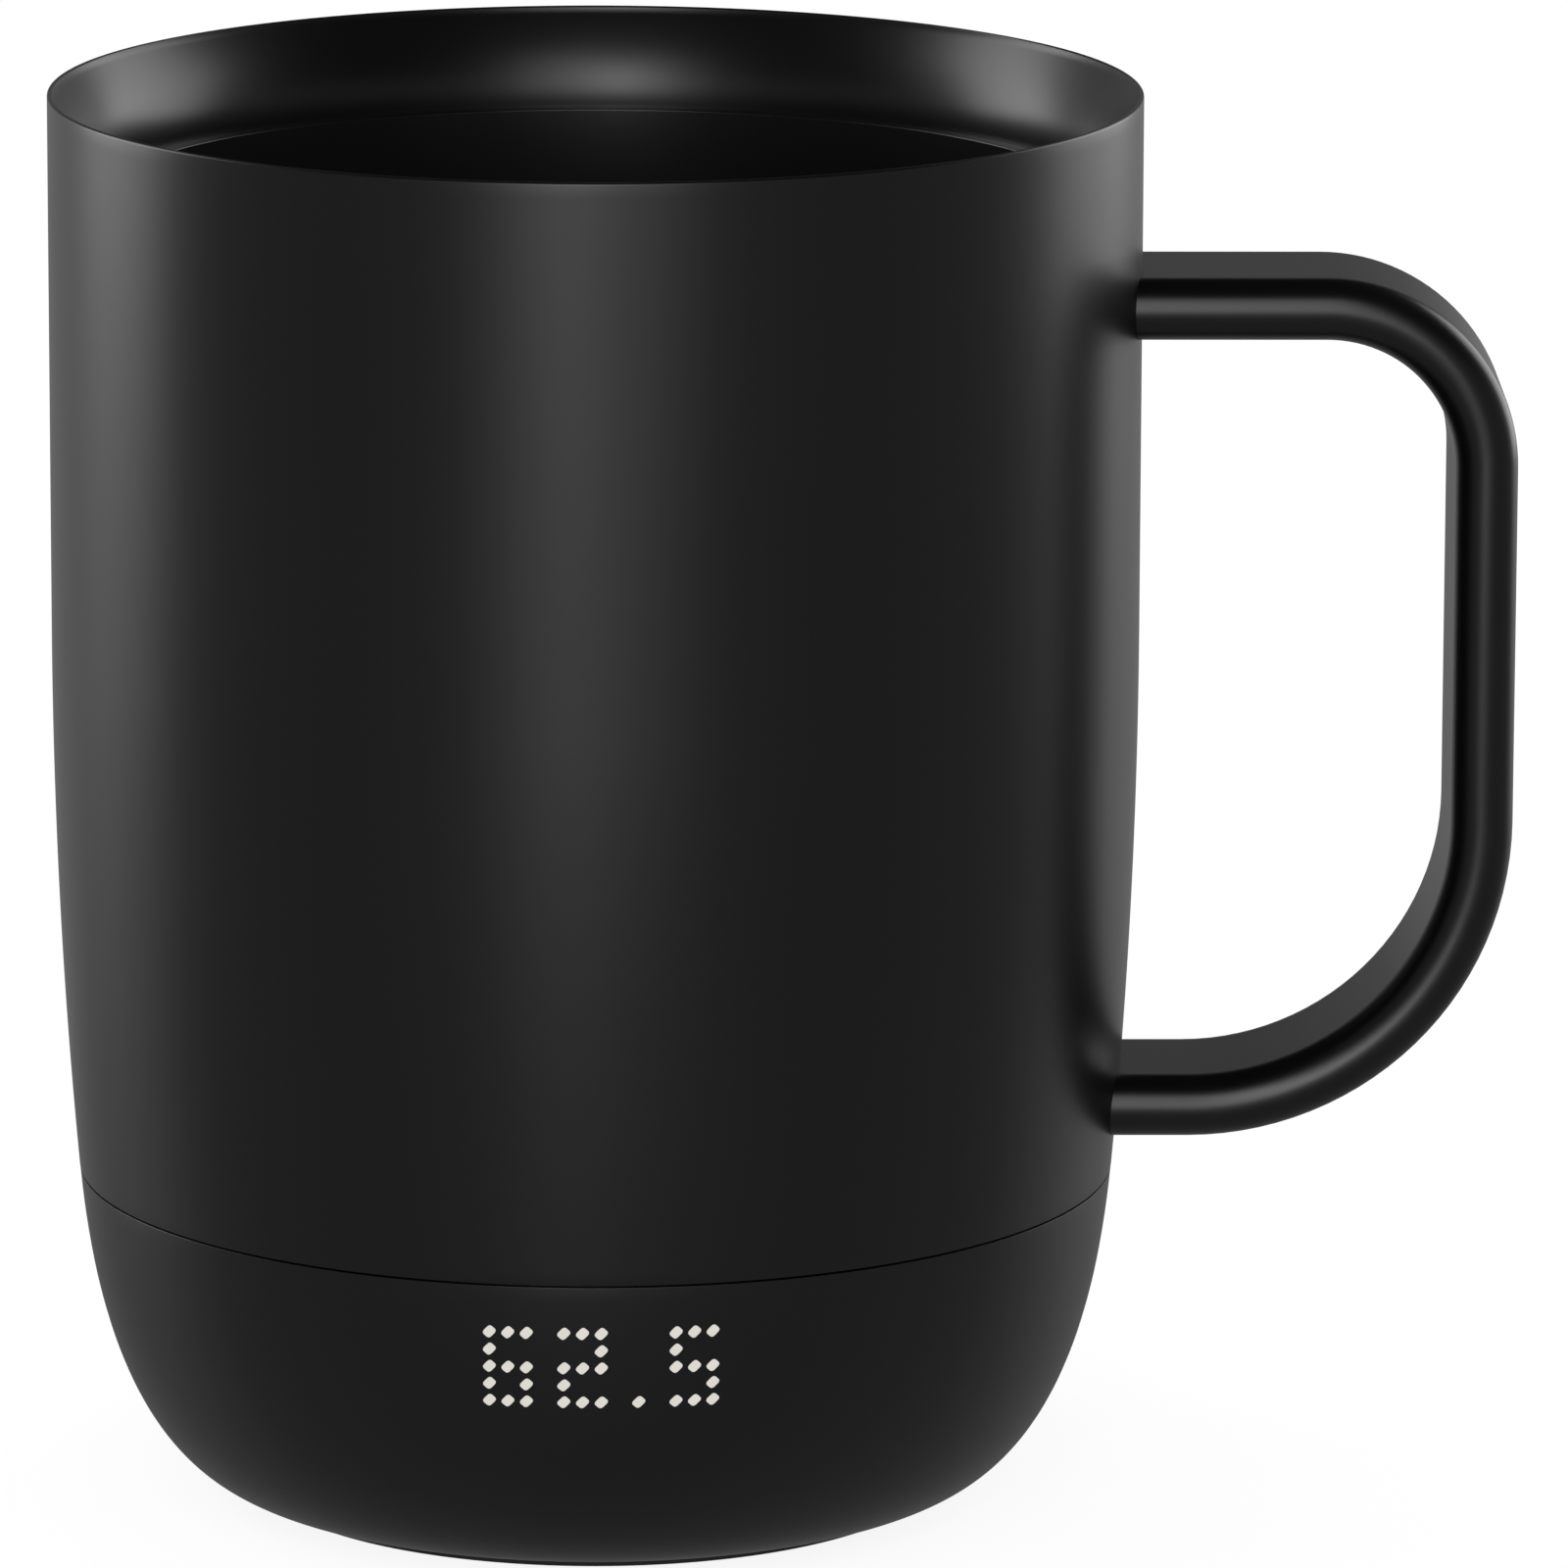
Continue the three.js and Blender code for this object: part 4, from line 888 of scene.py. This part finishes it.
def wall_point(across, height):
    """A point on the outside of the bowl and the way the wall faces there."""
    above = next(i for i, point in enumerate(bowl) if point.y >= height)
    low, high = bowl[above - 1], bowl[above]
    radius = low.x + (high.x - low.x) * (height - low.y) / (high.y - low.y)
    slope = (high.x - low.x) / (high.y - low.y)
    angle = across / radius
    place = Vector((axis_place + radius * math.sin(angle), -radius * math.cos(angle), height))
    facing = Vector((math.sin(angle), -math.cos(angle), -slope)).normalized()
    return place, facing


def dot_shape():
    """One dot: a slanted lozenge with rounded corners, its face towards +Z."""
    right, up = Vector(DOT_ARMS[0]), Vector(DOT_ARMS[1])
    corners = [right, up, -right, -up]
    edge = []
    for i, corner in enumerate(corners):
        back, onward = corners[i - 1], corners[(i + 1) % len(corners)]
        edge += bezier(
            [corner.lerp(back, DOT_CORNER), corner, corner.lerp(onward, DOT_CORNER)], DOT_STEPS
        )
    points = [(p.x, p.y, DOT_PROUD) for p in edge] + [(p.x, p.y, -DOT_DEPTH) for p in edge]
    count = len(edge)
    sides = [(i, i + count, (i + 1) % count + count, (i + 1) % count) for i in range(count)]
    faces = [tuple(range(count)), tuple(reversed(range(count, 2 * count))), *sides]
    return linked_object("display_dot", points, faces=faces)


def copies_tree(name, label, attribute, turning, turned_by):
    """A tree that sets a copy of an object at each point, and the node that turns it.

    The turning node reads the point's attribute through the input that turned_by names.
    """
    tree, source = new_tree(name, [(label, "Object")])
    info = tree.nodes.new("GeometryNodeObjectInfo")
    info.inputs["As Instance"].default_value = True
    stored = tree.nodes.new("GeometryNodeInputNamedAttribute")
    stored.data_type = "FLOAT_VECTOR"
    stored.inputs["Name"].default_value = attribute
    turn = tree.nodes.new(turning)
    copies = tree.nodes.new("GeometryNodeInstanceOnPoints")
    tree.links.new(source.outputs[label], info.inputs["Object"])
    tree.links.new(stored.outputs["Attribute"], turn.inputs[turned_by])
    tree.links.new(source.outputs["Geometry"], copies.inputs["Points"])
    tree.links.new(info.outputs["Geometry"], copies.inputs["Instance"])
    tree.links.new(turn.outputs["Rotation"], copies.inputs["Rotation"])
    return close_tree(tree, source, copies.outputs["Instances"]), turn


def glow_group():
    """The light of the dots, a little uneven from dot to dot."""
    group, source, goal = shader_group(
        "Dot glow", SURFACE_INPUTS, [*SURFACE_OUTPUTS, ("Glow", "Color")]
    )
    place = group.nodes.new("ShaderNodeTexCoord")
    patch = group.nodes.new("ShaderNodeTexNoise")
    group.links.new(place.outputs["Object"], patch.inputs["Vector"])
    group.links.new(source.outputs["Scale"], patch.inputs["Scale"])
    return close_surface(group, source, goal, patch.outputs["Fac"], tinted="Glow")


lit_points, lit_facings = [], []
for row, marks in enumerate(LIT_ROWS):
    for column, mark in enumerate(marks):
        if mark == "#":
            place, facing = wall_point(
                DISPLAY_OFFSET + (column - (DISPLAY_COLUMNS - 1) / 2) * DOT_PITCH,
                DISPLAY_HEIGHT + ((len(LIT_ROWS) - 1) / 2 - row) * ROW_PITCH,
            )
            lit_points.append(place)
            lit_facings.extend(facing)
dot_blank = linked_object("lit_dots", lit_points)
dot_blank.data.attributes.new("facing", "FLOAT_VECTOR", "POINT").data.foreach_set(
    "vector", lit_facings
)
dot = dot_shape()
dots_on_wall, dot_turn = copies_tree(
    "Dots on the wall", "Dot", "facing", "FunctionNodeAxesToRotation", "Primary Axis"
)
dot_turn.primary_axis, dot_turn.secondary_axis = "Z", "Y"
dot_turn.inputs["Secondary Axis"].default_value = (0, 0, 1)
dot_light = finished(
    "dot_light", glow_group(), ((0.67, 0.645, 0.59), (0.75, 0.72, 0.67)),
    roughness=(0.4, 0.5), scale=700, bump=0.001 * MM, Emission_Strength=1,
)
dot_nodes = dot_light.node_tree.nodes
dot_light.node_tree.links.new(
    dot_nodes["Group"].outputs["Glow"], dot_nodes["Principled BSDF"].inputs["Emission Color"]
)
lit_dots = baked("lit_dots", dot_blank, dots_on_wall, {"Dot": dot, "Material": dot_light})
bpy.data.objects.remove(dot)
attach(lit_dots, "mug_body")
dress(white_plastic, "light_baffle", "diffuser_film")

# Bottom cover
# A round plate of the base's plastic, set back under the mug. Two grooves hold the contact
# rings for a charging coaster, three bores take its screws and the button stands in its middle.
COVER_RADIUS = 21.7 * MM
COVER_FACE = 1 * MM
COVER_FLANGE = 2.8 * MM
PLUG_RADIUS = 17.3 * MM
PLUG_TOP = 3 * MM
BUTTON_HOLE = 5.3 * MM
INNER_RING = (8.5 * MM, 11 * MM)
OUTER_RING = (14 * MM, 16.5 * MM)
RING_GAP = 0.1 * MM
RING_BED = 1.6 * MM
RING_FACE = 0.9 * MM
RING_BACK = 1.5 * MM
PIN_HOLE = 1 * MM
COVER_HEAD_TOP = 2.2 * MM


def groove(ring):
    """The corners of a groove in the cover's face, from its inner edge outwards."""
    inner, outer = ring[0] - RING_GAP, ring[1] + RING_GAP
    return [
        (inner, COVER_FACE, MOULD_EDGE), (inner, RING_BED, 0),
        (outer, RING_BED, 0), (outer, COVER_FACE, MOULD_EDGE),
    ]


cover = turned(
    "cover",
    eased([
        (BUTTON_HOLE, COVER_FACE, MOULD_EDGE), *groove(INNER_RING), *groove(OUTER_RING),
        (COVER_RADIUS, COVER_FACE, MOULD_EDGE), (COVER_RADIUS, COVER_FLANGE, 0),
        (PLUG_RADIUS, COVER_FLANGE, 0), (PLUG_RADIUS, PLUG_TOP, MOULD_EDGE),
        (BUTTON_HOLE, PLUG_TOP, MOULD_EDGE),
    ]),
    moulded_black,
)
pin_places = [middle_of("contact_pin_inner"), middle_of("contact_pin_outer")]
carved(cover, cuts=[
    *[cylinder(HEAD_HOLE, 0, COVER_HEAD_TOP, place) for place in cover_screw_places],
    *[cylinder(SHANK_HOLE, 0, PLUG_TOP + CUT_PAST, place) for place in cover_screw_places],
    *[cylinder(PIN_HOLE, 0, PLUG_TOP + CUT_PAST, place) for place in pin_places],
])
placed(cover, "mug_body", "black_plastic", "bottom_cover")

# Contact rings
# Two turned brass rings under the cover, plated with nickel and gold, and a pin behind each
# that leads up to the board. They carry the charge from the coaster.
plated_rings = finished(
    "plated_rings", turned_rings, ((0.76, 0.55, 0.22), (0.86, 0.66, 0.32)),
    roughness=(0.16, 0.3), scale=5200, bump=0.004 * MM, Metallic=1,
)
for name, ring in (("inner", INNER_RING), ("outer", OUTER_RING)):
    band = turned(
        "contact_band_" + name,
        eased([
            (ring[0], RING_FACE, SHELL_EDGE), (ring[1], RING_FACE, SHELL_EDGE),
            (ring[1], RING_BACK, 0), (ring[0], RING_BACK, 0),
        ]),
        plated_rings,
    )
    placed(band, "mug_body", "contact_metal", "contact_ring_" + name)
dress(plated_rings, "contact_pin_inner", "contact_pin_outer")

# Screws
# Steel screws with a cross recess. The three that hold the cover are seen from below, and
# the others stand inside the mug.
SCREW_HEAD = 1.8 * MM
SCREW_FACE = 1.1 * MM
SCREW_SEAT = 2.1 * MM
SCREW_SHANK = 0.9 * MM
SCREW_END = 4.5 * MM
SCREW_EDGE = 0.2 * MM
CROSS_LENGTH = 1.9 * MM
CROSS_WIDTH = 0.45 * MM
CROSS_DEPTH = 0.6 * MM
CROSS_TURNS = (0.35, 1.2, 0.8)
steel = finished(
    "screw_steel", turned_rings, ((0.42, 0.42, 0.43), (0.52, 0.52, 0.53)),
    roughness=(0.24, 0.38), scale=4200, bump=0.004 * MM, Metallic=1,
)


def bar_cutter(length, width, turn):
    """One slot of a cross recess."""
    made = linked_object("slot", [])
    shape = bmesh.new()
    bmesh.ops.create_cube(
        shape, size=1,
        matrix=Matrix.Translation((0, 0, SCREW_FACE)) @ Matrix.Rotation(turn, 4, "Z")
        @ Matrix.Diagonal((length, width, 2 * CROSS_DEPTH, 1)),
    )
    shape.to_mesh(made.data)
    shape.free()
    return made


screw = turned(
    "screw",
    eased([
        (0, SCREW_FACE, 0), (SCREW_HEAD, SCREW_FACE, SCREW_EDGE), (SCREW_HEAD, SCREW_SEAT, 0),
        (SCREW_SHANK, SCREW_SEAT, 0), (SCREW_SHANK, SCREW_END, SCREW_EDGE), (0, SCREW_END, 0),
    ]),
    steel, closed=False, sides=ROUND_SIDES, place=(0, 0, 0),
)
carved(screw, cuts=[
    bar_cutter(CROSS_LENGTH, CROSS_WIDTH, 0), bar_cutter(CROSS_LENGTH, CROSS_WIDTH, math.pi / 2),
])
screws_turned = copies_tree("Screws", "Screw", "turn", "FunctionNodeEulerToRotation", "Euler")[0]
screw_blank = linked_object("screws", [(x, y, 0) for x, y in cover_screw_places])
screw_blank.data.attributes.new("turn", "FLOAT_VECTOR", "POINT").data.foreach_set(
    "vector", [value for turn in CROSS_TURNS for value in (0, 0, turn)]
)
cover_screws = baked(
    "cover_screws", screw_blank, screws_turned, {"Screw": screw, "Material": steel}
)
bpy.data.objects.remove(screw)
placed(
    cover_screws, "mug_body", "screw_steel", "cover_screw_1", "cover_screw_2", "cover_screw_3"
)
dress(
    steel, "base_screw_1", "base_screw_2", "base_screw_3", "cradle_screw_1", "cradle_screw_2",
    "cradle_screw_3", "board_screw_1", "board_screw_2",
)

# Power button
# A round key with a shallow dish, in the middle of the cover. Its flange keeps it in, and
# its stem presses the switch through the gasket.
BUTTON_RADIUS = 5 * MM
BUTTON_FACE = 1.1 * MM
BUTTON_DISH = 0.35 * MM
DISH_RADIUS = 4.1 * MM
BUTTON_EDGE = 0.4 * MM
FLANGE_RADIUS = 6.6 * MM
FLANGE_BOTTOM = 3.5 * MM
FLANGE_TOP = 4.3 * MM
STEM_RADIUS = 1.6 * MM
STEM_TOP = 4.5 * MM
DISH_STEPS = 16
dish = [
    (DISH_RADIUS * i / DISH_STEPS, BUTTON_FACE + BUTTON_DISH * (1 - (i / DISH_STEPS) ** 2))
    for i in range(DISH_STEPS + 1)
]
button_key = turned(
    "button_key",
    [
        *dish,
        *bezier(
            [
                (BUTTON_RADIUS - BUTTON_EDGE, BUTTON_FACE), (BUTTON_RADIUS, BUTTON_FACE),
                (BUTTON_RADIUS, BUTTON_FACE + BUTTON_EDGE),
            ],
            EASE_STEPS,
        ),
        (BUTTON_RADIUS, FLANGE_BOTTOM), (FLANGE_RADIUS, FLANGE_BOTTOM),
        (FLANGE_RADIUS, FLANGE_TOP), (STEM_RADIUS, FLANGE_TOP), (STEM_RADIUS, STEM_TOP),
        (0, STEM_TOP),
    ],
    moulded_black, closed=False,
)
placed(button_key, "button", "black_plastic", "power_button")

# Room and lamps
# A white floor and a white background, which reflections show as a darkened studio. A broad
# and a narrow soft lamp stand in front, and a strip at each side behind draws the bright edges.
FLOOR_HALF = 30
FLOOR_WHITE = (0.9, 0.9, 0.9, 1)
FLOOR_LEVEL = 1.04
FLOOR_GLOW = 0.86
FLOOR_MIRRORED = 0.24
FLOOR_MIRRORED_BEHIND = 0.38
BEHIND_FROM, BEHIND_TO = 0, 0.18
FLOOR_SHINE = 0.34
FLOOR_IOR = 1.3
FLOOR_ROUGHNESS = 0.3
HORIZON_MIRRORED = 0.225
OVERHEAD_MIRRORED = 0.008
DIM_FROM, DIM_TO = 0.24, 0.5
ROOM_DIFFUSE = 0.7
LAMPS = {
    "front_lamp": dict(azimuth=-1.5, distance=0.94, width=0.64, height=1.07, radiance=1.75),
    "front_center": dict(azimuth=-5.6, distance=1.4, width=0.24, height=1.07, radiance=4.5),
    "left_strip": dict(azimuth=-115, distance=0.78, width=0.39, height=0.8, radiance=3.82),
    "right_strip": dict(azimuth=125.5, distance=0.76, width=0.52, height=0.6, radiance=2.66),
}


def background_rays(nodes, links):
    """A factor that is 1 for rays that show the background, and one for mirrored rays."""
    path = nodes.new("ShaderNodeLightPath")
    seen = nodes.new("ShaderNodeMath")
    seen.operation = "MAXIMUM"
    links.new(path.outputs["Is Camera Ray"], seen.inputs[0])
    links.new(path.outputs["Is Transmission Ray"], seen.inputs[1])
    return seen.outputs["Value"], path.outputs["Is Glossy Ray"]


def room_light():
    """White to the camera and through glass, dim in reflections and dimmer overhead."""
    room = bpy.data.worlds.new("studio")
    scene.world = room
    room.use_nodes = True
    nodes, links = room.node_tree.nodes, room.node_tree.links
    seen, mirrored = background_rays(nodes, links)
    way = nodes.new("ShaderNodeTexCoord")
    parts = nodes.new("ShaderNodeSeparateXYZ")
    ceiling = nodes.new("ShaderNodeMapRange")
    unseen = nodes.new("ShaderNodeMix")
    level = nodes.new("ShaderNodeMix")
    ceiling.interpolation_type = "SMOOTHSTEP"
    ceiling.inputs["From Min"].default_value = DIM_FROM
    ceiling.inputs["From Max"].default_value = DIM_TO
    ceiling.inputs["To Min"].default_value = HORIZON_MIRRORED
    ceiling.inputs["To Max"].default_value = OVERHEAD_MIRRORED
    unseen.inputs["A"].default_value = ROOM_DIFFUSE
    level.inputs["B"].default_value = FLOOR_LEVEL
    links.new(way.outputs["Generated"], parts.inputs["Vector"])
    links.new(parts.outputs["Z"], ceiling.inputs["Value"])
    links.new(ceiling.outputs["Result"], unseen.inputs["B"])
    links.new(mirrored, unseen.inputs["Factor"])
    links.new(seen, level.inputs["Factor"])
    links.new(unseen.outputs["Result"], level.inputs["A"])
    nodes["Background"].inputs["Color"].default_value = (1, 1, 1, 1)
    links.new(level.outputs["Result"], nodes["Background"].inputs["Strength"])


def floor_paint():
    """A white floor with a soft shadow.

    Mirrored, it is dim, less so behind the mug, and it shows the lamps faintly.
    """
    paint = bpy.data.materials.new("floor_paint")
    paint.use_nodes = True
    nodes, links = paint.node_tree.nodes, paint.node_tree.links
    nodes.remove(nodes["Principled BSDF"])
    seen, mirrored = background_rays(nodes, links)
    lit = nodes.new("ShaderNodeBsdfDiffuse")
    glow = nodes.new("ShaderNodeEmission")
    dim = nodes.new("ShaderNodeEmission")
    place = nodes.new("ShaderNodeTexCoord")
    parts = nodes.new("ShaderNodeSeparateXYZ")
    behind = nodes.new("ShaderNodeMapRange")
    shine = nodes.new("ShaderNodeBsdfGlossy")
    graze = nodes.new("ShaderNodeFresnel")
    little = nodes.new("ShaderNodeMath")
    table = nodes.new("ShaderNodeMixShader")
    share = nodes.new("ShaderNodeMath")
    white = nodes.new("ShaderNodeMixShader")
    both = nodes.new("ShaderNodeMixShader")
    lit.inputs["Color"].default_value = FLOOR_WHITE
    glow.inputs["Strength"].default_value = FLOOR_LEVEL
    behind.interpolation_type = "SMOOTHSTEP"
    behind.inputs["From Min"].default_value = BEHIND_FROM
    behind.inputs["From Max"].default_value = BEHIND_TO
    behind.inputs["To Min"].default_value = FLOOR_MIRRORED
    behind.inputs["To Max"].default_value = FLOOR_MIRRORED_BEHIND
    links.new(place.outputs["Object"], parts.inputs["Vector"])
    links.new(parts.outputs["Y"], behind.inputs["Value"])
    links.new(behind.outputs["Result"], dim.inputs["Strength"])
    shine.inputs["Color"].default_value = (1, 1, 1, 1)
    shine.inputs["Roughness"].default_value = FLOOR_ROUGHNESS
    graze.inputs["IOR"].default_value = FLOOR_IOR
    little.operation = "MULTIPLY"
    little.inputs[1].default_value = FLOOR_SHINE
    share.operation = "MULTIPLY"
    share.inputs[1].default_value = FLOOR_GLOW
    links.new(seen, share.inputs[0])
    links.new(share.outputs["Value"], white.inputs["Fac"])
    links.new(lit.outputs["BSDF"], white.inputs[1])
    links.new(glow.outputs["Emission"], white.inputs[2])
    links.new(mirrored, both.inputs["Fac"])
    links.new(white.outputs["Shader"], both.inputs[1])
    links.new(graze.outputs["Fac"], little.inputs[0])
    links.new(little.outputs["Value"], table.inputs["Fac"])
    links.new(dim.outputs["Emission"], table.inputs[1])
    links.new(shine.outputs["BSDF"], table.inputs[2])
    links.new(table.outputs["Shader"], both.inputs[2])
    links.new(both.outputs["Shader"], nodes["Material Output"].inputs["Surface"])
    return paint


def soft_lamp(name, azimuth, distance, width, height, radiance):
    """An upright lamp that stands on the floor and faces the mug's axis.

    The azimuth runs from the front towards the handle.
    """
    light = bpy.data.lights.new(name, "AREA")
    light.shape = "RECTANGLE"
    light.size, light.size_y = width, height
    light.energy = radiance * math.pi * width * height
    lamp = bpy.data.objects.new(name, light)
    scene.collection.objects.link(lamp)
    turn = math.radians(azimuth)
    away = Vector((math.sin(turn), -math.cos(turn), 0))
    lamp.location = Vector((axis_place, 0, height / 2)) + away * distance
    lamp.rotation_euler = away.to_track_quat("Z", "Y").to_euler()
    lamp.visible_camera = False
    return lamp


room_light()
corners = [(-FLOOR_HALF, -FLOOR_HALF), (FLOOR_HALF, -FLOOR_HALF)]
corners += [(FLOOR_HALF, FLOOR_HALF), (-FLOOR_HALF, FLOOR_HALF)]
floor = linked_object("floor", [(x, y, 0) for x, y in corners], faces=[(0, 1, 2, 3)])
floor.data.materials.append(floor_paint())
[soft_lamp(name, **setting) for name, setting in LAMPS.items()]

# Camera
# A long lens a metre away, a little above the mug. It looks at the middle of the mug and its
# handle, and it leans so that the mug's own axis stands upright in the picture.
CAMERA_PLACE = Vector((-0.014725, -0.98698, 0.27439))
CAMERA_TARGET = Vector((0.00021, 0, 0.0567))
CAMERA_LEAN = math.radians(12.438)
LENS = 292.35
SENSOR = 36
camera = bpy.data.objects.new("camera", bpy.data.cameras.new("camera"))
scene.collection.objects.link(camera)
scene.camera = camera
camera.data.sensor_width = SENSOR
camera.data.lens = LENS
look = (CAMERA_TARGET - CAMERA_PLACE).normalized()
right = look.cross(Vector((0, math.sin(CAMERA_LEAN), math.cos(CAMERA_LEAN)))).normalized()
up = right.cross(look)
aim = Matrix((right, up, -look)).transposed().to_4x4()
camera.matrix_world = Matrix.Translation(CAMERA_PLACE) @ aim
scene.view_settings.view_transform = "Standard"
